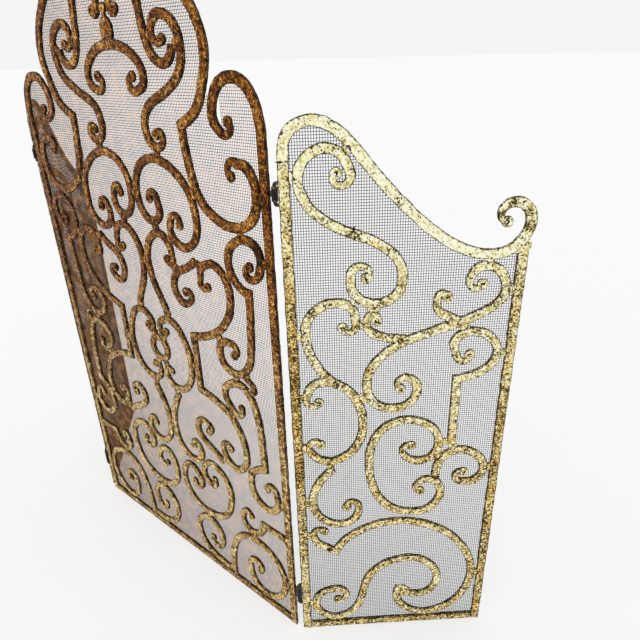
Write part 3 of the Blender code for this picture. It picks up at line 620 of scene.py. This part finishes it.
def settle(mesh, site, nodes):
    """Turn a mesh into an object of the row, in its place and riding on its body."""
    bm = bmesh.new()
    bm.from_mesh(mesh)
    bmesh.ops.recalc_face_normals(bm, faces=bm.faces)
    bm.to_mesh(mesh)
    bm.free()
    mesh.transform(site.place)
    mesh.polygons.foreach_set("use_smooth", np.ones(len(mesh.polygons), bool))
    mesh.materials.append(site.material)
    ob = add_object(mesh.name, mesh)
    if nodes:
        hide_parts(*nodes)
    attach(ob, site.body)


def piece(name, build, site, nodes=(), spots=()):
    """Make a build into a visible piece, which replaces the given CAD nodes."""
    co = np.vstack(build.co)
    mesh = bpy.data.meshes.new(name)
    mesh.from_pydata((co * MM).tolist(), [], build.faces)
    for label, values in (("edge_wear", build.wear), ("leaf_tone", build.tone),
                          ("weld_soot", [soot_at(co, spots)])):
        attribute = mesh.attributes.new(label, "FLOAT", "POINT")
        attribute.data.foreach_set("value", np.concatenate(values).astype(np.float32))
    settle(mesh, site, nodes)


def hinge_place(sign):
    """The hinge axis of one side, before any fold."""
    return Matrix.Translation((sign * HINGE_X * MM, 0.0, 0.0))


def wing_place(sign):
    return hinge_place(sign) @ Matrix.Rotation(sign * math.radians(WING_FOLD_DEG), 4, "Z")


# ---- materials

class Nodes:
    """Short hand for building one node material."""

    def __init__(self, name):
        self.mat = bpy.data.materials.new(name)
        self.mat.use_nodes = True
        self.tree = self.mat.node_tree
        self.shader = self.tree.nodes["Principled BSDF"]
        self.where = self.new("ShaderNodeTexCoord", {}).outputs["Object"]

    def new(self, kind, sockets, **props):
        """A node with its settings, and its sockets fed with numbers or with other sockets."""
        node = self.tree.nodes.new(kind)
        for key, value in props.items():
            setattr(node, key, value)
        for key, source in sockets.items():
            self.feed(node.inputs[key], source)
        return node

    def feed(self, socket, source):
        if isinstance(source, bpy.types.NodeSocket):
            self.tree.links.new(source, socket)
        else:
            socket.default_value = source

    def noise(self, scale, detail, rough, distort, seed):
        sockets = {"Vector": self.where, "Scale": scale, "Detail": detail, "Roughness": rough,
                   "Distortion": distort, "W": seed}
        return self.new("ShaderNodeTexNoise", sockets, noise_dimensions="4D").outputs["Fac"]

    def flakes(self, scale, seed):
        """A random value for each ragged flake, with about scale flakes to a metre."""
        wander = self.new("ShaderNodeTexNoise", {"Vector": self.where, "Scale": scale * 1.3, "W": seed},
                          noise_dimensions="4D")
        shift = self.new("ShaderNodeVectorMath", {0: wander.outputs["Color"], 1: (1.6 / scale,) * 3,
                                                  2: self.where}, operation="MULTIPLY_ADD")
        sockets = {"Vector": shift.outputs["Vector"], "Scale": scale, "W": seed}
        cells = self.new("ShaderNodeTexVoronoi", sockets, voronoi_dimensions="4D")
        return self.new("ShaderNodeSeparateColor", {"Color": cells.outputs["Color"]}).outputs["Red"]

    def span(self, value, low, high, out_low=0.0, out_high=1.0):
        sockets = {"Value": value, "From Min": low, "From Max": high, "To Min": out_low, "To Max": out_high}
        return self.new("ShaderNodeMapRange", sockets, interpolation_type="SMOOTHSTEP").outputs["Result"]

    def maths(self, operation, a, b, c=0.5):
        return self.new("ShaderNodeMath", {0: a, 1: b, 2: c}, operation=operation).outputs[0]

    def scaled(self, a, b, c):
        """a times b, plus c."""
        return self.maths("MULTIPLY_ADD", a, b, c)

    def mix(self, factor, a, b, blend="MIX"):
        sockets = {"Factor": factor, "A": a, "B": b}
        return self.new("ShaderNodeMix", sockets, data_type="RGBA", blend_type=blend).outputs["Result"]

    def stored(self, label):
        return self.new("ShaderNodeAttribute", {}, attribute_name=label).outputs["Fac"]

    def ramp(self, value, stops):
        node = self.new("ShaderNodeValToRGB", {"Fac": value})
        while len(node.color_ramp.elements) < len(stops):
            node.color_ramp.elements.new(0.5)
        for element, (place, colour) in zip(node.color_ramp.elements, stops):
            element.position = place
            element.color = (*colour, 1.0)
        return node.outputs["Color"]

    def height(self):
        return self.new("ShaderNodeSeparateXYZ", {0: self.where}).outputs["Z"]

    def bump(self, height, strength, distance):
        node = self.new("ShaderNodeBump", {"Strength": strength, "Distance": distance, "Height": height})
        self.feed(self.shader.inputs["Normal"], node.outputs["Normal"])

    def finish(self, colour, metallic, rough):
        self.feed(self.shader.inputs["Base Color"], colour)
        self.shader.inputs["Metallic"].default_value = metallic
        self.feed(self.shader.inputs["Roughness"], rough)


def gilded(name, top, low, fade, gains, seed):
    """Gold leaf over iron: crisp flakes, glaze, weld soot, and dark bar edges that are rubbed leaf and
    painted shade.

    top and low are ramps of the leaf at the top and at the foot of a panel, from the bare glaze to
    the palest flakes, whose near-white cream also paints the highlights on the gold; fade holds the
    two heights between which one gives way to the other. gains says how strongly the flakes, the
    fine grain and the coarse mottle vary the leaf.
    """
    n = Nodes(name)
    flake = n.flakes(450.0, seed + 5.0)
    chip = n.flakes(520.0, seed + 7.0)
    grain = n.noise(520.0, 3.0, 0.7, 0.4, seed + 1.0)
    mottle = n.noise(110.0, 4.0, 0.62, 0.5, seed)
    broad = n.noise(17.0, 3.0, 0.5, 0.4, seed + 3.0)
    grit = n.noise(70.0, 3.0, 0.6, 0.6, seed + 9.0)
    patch = n.noise(48.0, 4.0, 0.6, 0.8, seed + 13.0)
    bar_tone = n.stored("leaf_tone")
    tone = n.scaled(flake, gains[0], n.scaled(mottle, gains[2], 0.5 - 0.5 * sum(gains)))
    tone = n.scaled(grain, gains[1], tone)
    tone = n.maths("ADD", tone, n.scaled(broad, 0.5, -0.25))
    tone = n.maths("ADD", tone, bar_tone)
    soot = n.span(n.scaled(n.stored("weld_soot"), 0.8, mottle), 0.85, 1.25)
    tone = n.scaled(soot, -0.35, tone)
    climb = n.span(n.scaled(broad, 0.3, n.height()), fade[0] + 0.15, fade[1] + 0.15)
    foot = n.scaled(climb, -0.6, 1.0)
    warm = n.maths("MULTIPLY", n.span(patch, 0.52, 0.64, 0.0, 0.8), foot)
    leaf = n.mix(climb, n.ramp(tone, low), n.ramp(tone, top))
    leaf = n.mix(n.scaled(bar_tone, -3.0, warm), leaf, (1.0, 0.78, 0.45, 1.0), "MULTIPLY")
    worn = n.scaled(bar_tone, -0.5, n.scaled(grit, 1.6, n.scaled(foot, 0.16, chip)))
    black = n.span(n.scaled(soot, 0.45, worn), 1.78, 1.82, 0.0, 0.95)
    # The eased edges go dark: rubbed leaf, and painted shade where the edges turn from the light.
    rim = n.span(n.scaled(n.stored("edge_wear"), 0.85, n.scaled(chip, -0.4, 0.2)), 0.42, 0.52)
    bare = n.maths("MAXIMUM", black, rim)
    dark = n.mix(n.span(mottle, 0.45, 0.65), (0.012, 0.009, 0.006, 1.0), (0.085, 0.045, 0.014, 1.0))
    n.finish(n.mix(bare, leaf, dark), 0.92, n.scaled(bare, 0.15, n.span(tone, 0.2, 0.8, 0.55, 0.30)))
    relief = n.scaled(mottle, 0.8, n.maths("MULTIPLY", flake, 0.12))
    n.bump(n.scaled(bare, -0.2, relief), 0.7, 0.0012)
    return n.mat


def black_wire(name, clean, dusted, metallic):
    """Blackened wire, dusted in places with the leaf's overspray."""
    n = Nodes(name)
    grime = n.noise(60.0, 4.0, 0.6, 0.0, 2.0)
    colour = n.mix(n.span(grime, 0.4, 0.65), (*clean, 1.0), (*dusted, 1.0))
    n.finish(colour, metallic, n.scaled(grime, 0.3, 0.35))
    n.bump(n.noise(900.0, 2.0, 0.5, 0.0, 4.0), 0.2, 0.0002)
    return n.mat


def black_iron(name):
    """Black paint, rubbed brown on the edges."""
    n = Nodes(name)
    grain = n.noise(420.0, 5.0, 0.65, 0.3, 1.0)
    rub = n.span(n.scaled(n.stored("edge_wear"), 0.35, grain), 0.62, 0.86)
    colour = n.mix(rub, (0.012, 0.011, 0.010, 1.0), (0.16, 0.11, 0.055, 1.0))
    n.finish(colour, 0.7, n.scaled(grain, 0.3, 0.32))
    n.bump(grain, 0.5, 0.0004)
    return n.mat


# The palest stops of each ramp are painted highlights as well as pale leaf: near-white cream flakes stand
# for the glints of light on the gold.
WING_GOLD = gilded(
    "wing_gold_leaf",
    top=((0.0, (0.18, 0.135, 0.045)), (0.18, (0.54, 0.45, 0.16)), (0.36, (0.84, 0.77, 0.36)),
         (0.54, (0.96, 0.93, 0.58)), (0.72, (1.0, 1.0, 0.86))),
    low=((0.08, (0.02, 0.013, 0.007)), (0.24, (0.27, 0.145, 0.022)), (0.41, (0.64, 0.45, 0.10)),
         (0.58, (0.90, 0.76, 0.31)), (0.78, (1.0, 0.96, 0.70))),
    fade=(0.25, 0.80), gains=(0.75, 0.95, 0.65), seed=1.0)
CENTRE_GOLD = gilded(
    "centre_gold_leaf",
    top=((0.12, (0.020, 0.006, 0.001)), (0.36, (0.090, 0.024, 0.002)), (0.56, (0.25, 0.080, 0.008)),
         (0.74, (0.47, 0.20, 0.025)), (0.94, (0.85, 0.54, 0.15))),
    low=((0.10, (0.018, 0.008, 0.003)), (0.30, (0.16, 0.060, 0.007)), (0.46, (0.48, 0.25, 0.035)),
         (0.60, (0.80, 0.56, 0.15)), (0.78, (1.0, 0.92, 0.56))),
    fade=(0.20, 0.62), gains=(0.5, 1.1, 1.35), seed=21.0)
WING_WIRE = black_wire("wing_black_wire", (0.018, 0.018, 0.020), (0.060, 0.054, 0.045), 0.4)
CENTRE_WIRE = black_wire("centre_brown_wire", (0.15, 0.058, 0.014), (0.50, 0.23, 0.058), 0.8)
IRON = black_iron("black_hinge_iron")


# ---- welds

def bar_outline(points, widths):
    """Both edges and the centre line of a laid bar as points, for finding where bars come close."""
    tangents = unit(np.gradient(points, axis=0))
    out = np.stack([-tangents[:, 1], tangents[:, 0]], axis=1) * (widths / 2)[:, None]
    return np.vstack([points + out, points - out, points])


def joints_between(outlines):
    """Every place where two bars come within a weld's reach of each other: x, z, gap and angle."""
    found = []
    names = list(outlines)
    for i, a in enumerate(names):
        for b in names[i + 1:]:
            pa = outlines[a]
            pb = outlines[b]
            apart = np.maximum(pa.min(0) - pb.max(0), pb.min(0) - pa.max(0)).max() > WELD_GAP
            if apart or {a, b} in FRAME_CORNERS:
                continue
            dist = np.linalg.norm(pa[:, None] - pb[None], axis=2)
            for _ in range(3):
                k = np.unravel_index(dist.argmin(), dist.shape)
                if dist[k] > WELD_GAP:
                    break
                p, q = pa[k[0]], pb[k[1]]
                mid = (p + q) / 2
                if mid[1] > FOOT_CORNER:
                    found.append((*mid, float(dist[k]), math.atan2(q[1] - p[1], q[0] - p[0])))
                dist[np.linalg.norm(pa - mid, axis=1) < WELD_SPACING] = np.inf
    return found


def panel_outlines(bars, label="{}", mirror=False):
    """The drawn edges of every bar of one side, and the cut ends, keyed by the bar's full name."""
    out = {}
    cut_ends = {}
    flip = (-1.0, 1.0) if mirror else (1.0, 1.0)
    for name, bar in bars.items():
        points, _, _, widths = stations(bar, width_of(name))
        out[label.format(name)] = bar_outline(points, widths) * flip
        if name not in FRAME_BARS:
            ends = ((0, bar[0]), (-1, bar[2]))
            cut_ends[label.format(name)] = [points[i] * flip for i, curl in ends if not curl]
    return out, cut_ends


def end_welds(outlines, cut_ends, joints):
    """A weld for each cut end that no joint holds yet, on the bar nearest to it."""
    found = []
    for name, ends in cut_ends.items():
        for end in ends:
            if any(math.hypot(end[0] - j[0], end[1] - j[1]) < END_WELD_CLEARANCE for j in joints):
                continue
            others = np.vstack([p for other, p in outlines.items() if other != name])
            dist = np.linalg.norm(others - end, axis=1)
            k = dist.argmin()
            if dist[k] < END_WELD_REACH:
                angle = math.atan2(*(others[k] - end)[::-1])
                found.append((*(others[k] + end) / 2, float(dist[k]), angle))
    return found


def butt_angle(outlines, x, z):
    """The direction across the bar that runs nearest to a place."""
    centre_lines = np.vstack([p[2 * len(p) // 3:] for p in outlines.values()])
    near = np.argsort(np.hypot(centre_lines[:, 0] - x, centre_lines[:, 1] - z))[:2]
    along = centre_lines[near[1]] - centre_lines[near[0]]
    return math.atan2(along[1], along[0]) + math.pi / 2


def add_beads(name, joints, fills, butts, site):
    """Fillet welds where bars touch, filled corners, and the ridges of butt welds across a bar."""
    build = Build()
    for i, (x, z, gap, angle) in enumerate(joints):
        along = WELD_HALF_LENGTH + WELD_VARIATION * math.sin(i * 2.3)
        add_bead(build, x, z, gap / 2 + WELD_LAP, along, angle, i + 0.5)
    for i, (x, z, reach, along, angle_deg) in enumerate(fills):
        add_bead(build, x, z, reach, along, math.radians(angle_deg), i + 60.5, bareness=0.0)
    for i, (x, z, reach, angle) in enumerate(butts):
        add_bead(build, x, z, reach, BUTT_RIDGE, angle, i + 80.5, BUTT_PROUD, 1.0)
    piece(name, build, site)


# ---- panels

def build_panel(bars, groups, label, mirror, site, spots):
    """The simple bars of one side of a panel, grouped as the CAD nodes are."""
    members = {m for names in groups.values() for m in names}
    plan = {n: (n,) for n in bars if n not in members}
    plan.update(groups)
    for number, (node, names) in enumerate(plan.items()):
        build = Build(mirror)
        for k, name in enumerate(names):
            add_bar(build, bars[name], name, 3.7 * number + k + (50 if mirror else 0))
        node = label.format(node)
        piece("forged_" + node, build, site, (node,), spots)


def centre_piece(node, build, site, spots):
    piece("forged_centre_" + node, build, site, ("centre_" + node,), spots)


def build_centre():
    site = Site(Matrix.Identity(4), "centre", "centre_gilding", CENTRE_GOLD)
    singles = {n: b for n, b in CENTRE_BARS.items() if n not in CENTRE_WHOLE and n not in CENTRE_PAIRS}
    pairs = {n: CENTRE_BARS[n] for n in CENTRE_PAIRS}
    outlines = {}
    cut_ends = {}
    for side, sign in SIDES:
        side_outlines, side_ends = panel_outlines({**singles, **pairs}, "{}_" + side, sign < 0)
        outlines.update(side_outlines)
        cut_ends.update(side_ends)
    for name in CENTRE_WHOLE:
        points, _, _, widths = whole_stations(CENTRE_BARS[name], width_of(name))
        outlines[name] = bar_outline(points, widths)
    outlines["ring"] = unit_circle(59) * RING_OUTER + (0, RING_Z)
    joints = joints_between(outlines)
    joints += end_welds(outlines, cut_ends, joints)
    spots = [(x, z, WELD_SOOT) for x, z, _, _ in joints] + list(CENTRE_SCORCH)
    for side, sign in SIDES:
        build_panel(singles, CENTRE_GROUPS, "centre_{}_" + side, sign < 0, site, spots)
    for number, name in enumerate(CENTRE_WHOLE):
        build = Build()
        add_whole_bar(build, CENTRE_BARS[name], name, 90.0 + number)
        centre_piece(name, build, site, spots)
    for number, (name, node) in enumerate(CENTRE_PAIRS.items()):
        build = Build()
        for mirror in (False, True):
            build.mirror = mirror
            add_bar(build, CENTRE_BARS[name], name, 60.0 + number + mirror * 0.5)
        build.mirror = False
        if name == "oval":
            add_ring(build)
        centre_piece(node, build, site, spots)
    half = smooth_run(CROWN_LEAF)[::4]
    leaf = np.vstack([half, half[-2::-1] * (-1.0, 1.0)])
    boss = unit_circle(36) * BOSS_RADIUS + (0.0, BOSS_Z)
    for number, (node, outline) in enumerate((("crown_leaf", leaf), ("crown_boss", boss))):
        build = Build()
        add_dome(build, outline, 30.0 + number)
        centre_piece(node, build, site, spots)
    add_beads("weld_beads_centre", joints, CENTRE_FILLS, (), site)


def build_wing(side, sign):
    body = "wing_" + side
    site = Site(wing_place(sign), body, "wing_gilding", WING_GOLD)
    outlines, cut_ends = panel_outlines(WING_BARS, mirror=sign < 0)
    joints = joints_between(outlines)
    joints += end_welds(outlines, cut_ends, joints)
    butts = [(sign * x, z, reach, butt_angle(outlines, sign * x, z)) for x, z, reach, _ in WING_BUTT_WELDS]
    fills = [(sign * x, z, reach, along, sign * angle) for x, z, reach, along, angle in WING_FILLS]
    spots = [(x, z, WELD_SOOT) for x, z, _, _ in joints]
    spots += [(sign * x, z, spread) for x, z, _, spread in WING_BUTT_WELDS]
    spots += [(sign * x, z, spread) for x, z, spread in WING_SCORCH]
    build_panel(WING_BARS, WING_GROUPS, body + "_{}", sign < 0, site, spots)
    add_beads("weld_beads_" + body, joints, fills, butts, site)


# ---- wire cloth

def crossings(outline, value, axis):
    """Where a line at the given value of one axis crosses the closed outline."""
    p = np.array(outline)
    q = np.roll(p, -1, axis=0)
    other = 1 - axis
    hit = (p[:, axis] > value) != (q[:, axis] > value)
    p, q = p[hit], q[hit]
    t = (value - p[:, axis]) / (q[:, axis] - p[:, axis])
    return np.sort(p[:, other] + t * (q[:, other] - p[:, other]))


def weave(outline):
    """Every wire of the cloth as rows of points (x, y, z) in the panel's plane."""
    p = np.array(outline)
    lo = p.min(axis=0)
    hi = p.max(axis=0)
    wires = []
    for axis, pitch, cross in ((0, PITCH_X, PITCH_Z), (1, PITCH_Z, PITCH_X)):
        other = 1 - axis
        for i in range(int((hi[axis] - lo[axis]) / pitch) + 1):
            value = lo[axis] + (i + 0.5) * pitch
            ends = crossings(outline, value, axis)
            for a, b in zip(ends[::2], ends[1::2]):
                first = math.ceil((a - lo[other]) / cross - 0.5)
                last = math.floor((b - lo[other]) / cross - 0.5)
                if last - first < 2:
                    continue
                k = np.arange(first, last + 1)
                row = np.zeros((len(k), 3))
                row[:, 2 * axis] = value
                row[:, 2 * other] = lo[other] + (k + 0.5) * cross
                lift = np.where((k + i) % 2 == 0, CRIMP, -CRIMP)
                row[:, 1] = SHEET_Y + (-lift if axis else lift)
                wires.append((axis, row))
    return wires


def wire_mesh(name, wires, mirror):
    """Square-sided wires along rows of points, as one mesh of quads."""
    ring = unit_circle(4) * WIRE_RADIUS
    co = []
    faces = []
    base = 0
    for axis, row in wires:
        rings = np.repeat(row[:, None], 4, axis=1)
        rings[:, :, 2 * axis] += ring[:, 0]
        rings[:, :, 1] += ring[:, 1]
        end = base + 4 * (len(row) - 1)
        index = np.arange(base, end).reshape(-1, 4)
        turned = np.roll(index, -1, axis=1)
        co.append(rings.reshape(-1, 3))
        faces.append(np.stack([index, turned, turned + 4, index + 4], axis=2).reshape(-1, 4))
        faces.append([[base, base + 3, base + 2, base + 1], [end, end + 1, end + 2, end + 3]])
        base = end + 4
    co = np.vstack(co) * (-MM if mirror else MM, MM, MM)
    faces = np.vstack(faces)
    mesh = bpy.data.meshes.new(name)
    mesh.vertices.add(len(co))
    mesh.vertices.foreach_set("co", co.astype(np.float32).ravel())
    mesh.loops.add(faces.size)
    mesh.loops.foreach_set("vertex_index", faces.astype(np.int32).ravel())
    mesh.polygons.add(len(faces))
    mesh.polygons.foreach_set("loop_start", np.arange(0, faces.size, 4, dtype=np.int32))
    mesh.update(calc_edges=True)
    return mesh


def build_cloth(label, outline, mirror, site, node):
    """The crimped wires of one sheet, shared out over pieces of a modest size."""
    batches = [[]]
    load = 0
    for wire in weave(outline):
        if load > BENDS_TO_A_PIECE:
            batches.append([])
            load = 0
        batches[-1].append(wire)
        load += len(wire[1])
    for number, batch in enumerate(batches):
        settle(wire_mesh(f"{label}_{number}", batch, mirror), site, () if number else (node,))


def wing_outline():
    stile_x = first_knot(WING_BARS["hinge_stile"])[0]
    outer_x = first_knot(WING_BARS["outer_stile"])[0]
    rail_z = first_knot(WING_BARS["bottom_rail"])[1]
    crest = smooth_run(WING_BARS["crest"][1][0])
    crest = crest[(crest[:, 0] < outer_x - 1.5) & (np.arange(len(crest)) < np.argmax(crest[:, 0]))]
    return [(stile_x, rail_z), (outer_x, rail_z)] + [tuple(p) for p in crest[::-1]]


def centre_outline():
    """Half the sheet's edge, down the arch, the shoulder and the stile, and its mirror image."""
    arch = smooth_run(CENTRE_BARS["main_arch"][1][0])
    shoulder = smooth_run(CENTRE_BARS["stile"][1][1])
    half = [tuple(p) for p in arch if p[1] > 850.0]
    half += [tuple(p) for p in shoulder[::-1] if p[0] > 200.0]
    half.append((first_knot(CENTRE_BARS["stile"])[0], first_knot(CENTRE_BARS["bottom_rail"])[1]))
    return half + [(-x, z) for x, z in half[::-1] if x > 0.0]


# ---- hinges

HINGE_LEVELS = (("upper", (728.5, 745.5)), ("lower", (64.5, 98.5)))
BARREL_RADIUS = 3.9
BORE_RADIUS = 2.7
# The leaf of a barrel runs from this place beside the pin to the centre stile's edge.
LEAF_X = -3.2
LEAF_THICKNESS = 1.6
LEAF_INSET = 5.0
STILE_GAP = 0.4
# The pin stands past the barrel, then bends over and reaches the wing's stile.
PIN_RADIUS = 2.3
PIN_STAND = 4.0
PIN_BEND = 2.6
PIN_REACH = 5.4


def barrel(side, level, span, sign):
    """Rolled barrel with eased rims and the leaf that carries it on the centre stile."""
    low, high = span
    middle = (low + high) / 2
    rim = ((BORE_RADIUS, 0.0, 0.9), (BARREL_RADIUS - 0.5, 0.0, 1.0), (BARREL_RADIUS, 0.5, 0.8),
           (BARREL_RADIUS, 3.0, 0.2))
    profile = [(r, low + d, wear) for r, d, wear in rim] + [(BARREL_RADIUS, middle, 0.1)]
    profile += [(r, high - d, wear) for r, d, wear in rim[::-1]]
    sides = 28
    build = Build(sign < 0)
    build.add([(r * c, r * s, z) for r, z, _ in profile for c, s in unit_circle(sides)],
              np.repeat([wear for _, _, wear in profile], sides),
              rings_to_faces(len(profile), sides, closed=True))
    edge = first_knot(CENTRE_BARS["stile"])[0] + FRAME_WIDTH / 2 - STILE_GAP - HINGE_X
    size = Vector((LEAF_X - edge, LEAF_THICKNESS, high - low - 2 * LEAF_INSET))
    leaf = bmesh.new()
    bmesh.ops.create_cube(leaf, size=1.0)
    for v in leaf.verts:
        v.co = v.co * size + Vector(((edge + LEAF_X) / 2, 0.0, middle))
    bmesh.ops.bevel(leaf, geom=leaf.edges[:], offset=0.35, segments=2, affect="EDGES")
    leaf.verts.index_update()
    build.add([tuple(v.co) for v in leaf.verts], [0.5] * len(leaf.verts),
              [tuple(v.index for v in f.verts) for f in leaf.faces])
    leaf.free()
    site = Site(hinge_place(sign), "centre", "hinge_iron", IRON)
    piece(f"hinge_knuckle_{side}_{level}", build, site, (f"hinge_barrel_{side}_{level}",))


def staple(side, level, span, sign):
    """Round pin bent over above and below the barrel and welded to the wing stile."""
    low = span[0] - PIN_STAND
    high = span[1] + PIN_STAND
    arc = [(math.sin(a), math.cos(a)) for a in math.pi / 2 * np.arange(1, 6) / 6]
    path = [(PIN_REACH, high), (PIN_BEND, high)]
    path += [(PIN_BEND * (1 - s), high - PIN_BEND * (1 - c)) for s, c in arc]
    path += [(0.0, z) for z in np.linspace(high - PIN_BEND, low + PIN_BEND, 7)]
    path += [(PIN_BEND * (1 - c), low + PIN_BEND * (1 - s)) for s, c in arc]
    path += [(PIN_BEND, low), (PIN_REACH, low)]
    path = np.array(path)
    tangents = unit(np.gradient(path, axis=0))
    sides = 16
    co = []
    wear = []
    for i, ((x, z), (tx, tz)) in enumerate(zip(path, tangents)):
        at_end = i in (0, len(path) - 1)
        r = PIN_RADIUS * (0.82 if at_end else 1.0)
        co += [(x - tz * r * c, r * s, z + tx * r * c) for c, s in unit_circle(sides)]
        wear += [1.0 if at_end else 0.5] * sides
    faces = rings_to_faces(len(path), sides)
    faces.append(tuple(range(sides)))
    faces.append(tuple(range(len(co) - sides, len(co))))
    build = Build(sign < 0)
    build.add(co, wear, faces)
    site = Site(wing_place(sign), "wing_" + side, "hinge_iron", IRON)
    piece(f"hinge_staple_{side}_{level}", build, site, (f"hinge_pin_{side}_{level}",))


# ---- stage

FLOOR_SIZE = 80.0
FLOOR_DROP = 0.0006
FLOOR_GREY = 0.31
FLOOR_GLOW = 0.62
SKY = (0.995, 1.0, 1.0, 1.0)
SKY_STRENGTH = 0.91
# Soft studio suns: name, direction of the light, strength and angular spread in degrees.
SUNS = (("key", (-0.45, 0.75, -0.9), 0.65, 40.0), ("rake", (0.9, 0.5, -0.55), 0.25, 20.0))
CAMERA_PLACE = (0.7311, -0.45593, 0.88073)
CAMERA_TURN_DEG = (64.4746, 1.5577, 39.3916)
LENS_MM = 31.5


def build_stage():
    bm = bmesh.new()
    bmesh.ops.create_grid(bm, x_segments=8, y_segments=8, size=FLOOR_SIZE)
    mesh = bpy.data.meshes.new("floor")
    bm.to_mesh(mesh)
    bm.free()
    floor = add_object("floor", mesh)
    floor.location = (0, 0, -FLOOR_DROP)
    n = Nodes("pale_floor")
    for key, value in (("Base Color", (FLOOR_GREY, FLOOR_GREY, FLOOR_GREY, 1.0)), ("Roughness", 1.0),
                       ("Emission Color", (1.0, 1.0, 1.0, 1.0)), ("Emission Strength", FLOOR_GLOW),
                       ("Specular IOR Level", 0.0)):
        n.shader.inputs[key].default_value = value
    floor.data.materials.append(n.mat)

    world = bpy.data.worlds.new("studio")
    world.use_nodes = True
    back = world.node_tree.nodes["Background"]
    back.inputs["Color"].default_value = SKY
    back.inputs["Strength"].default_value = SKY_STRENGTH
    bpy.context.scene.world = world
    bpy.context.scene.view_settings.view_transform = "Standard"

    for name, aim, strength, spread in SUNS:
        light = bpy.data.lights.new(name, "SUN")
        light.energy = strength
        light.angle = math.radians(spread)
        add_object(name, light).rotation_euler = Vector(aim).to_track_quat("-Z", "Y").to_euler()


def build_camera():
    data = bpy.data.cameras.new("camera")
    data.sensor_width = 36.0
    data.lens = LENS_MM
    data.clip_start = 0.01
    ob = add_object("camera", data)
    ob.location = CAMERA_PLACE
    ob.rotation_euler = [math.radians(turn) for turn in CAMERA_TURN_DEG]
    bpy.context.scene.camera = ob


build_centre()
for wing_side, wing_sign in SIDES:
    build_wing(wing_side, wing_sign)
    wing_cloth = Site(wing_place(wing_sign), "wing_" + wing_side, "wire_cloth", WING_WIRE)
    build_cloth(f"wire_cloth_wing_{wing_side}", wing_outline(), wing_sign < 0, wing_cloth,
                f"wing_{wing_side}_wire_sheet")
    for hinge_level, hinge_span in HINGE_LEVELS:
        barrel(wing_side, hinge_level, hinge_span, wing_sign)
        staple(wing_side, hinge_level, hinge_span, wing_sign)
centre_cloth = Site(Matrix.Identity(4), "centre", "wire_cloth", CENTRE_WIRE)
build_cloth("wire_cloth_centre", centre_outline(), False, centre_cloth, "centre_wire_sheet")
build_stage()
build_camera()
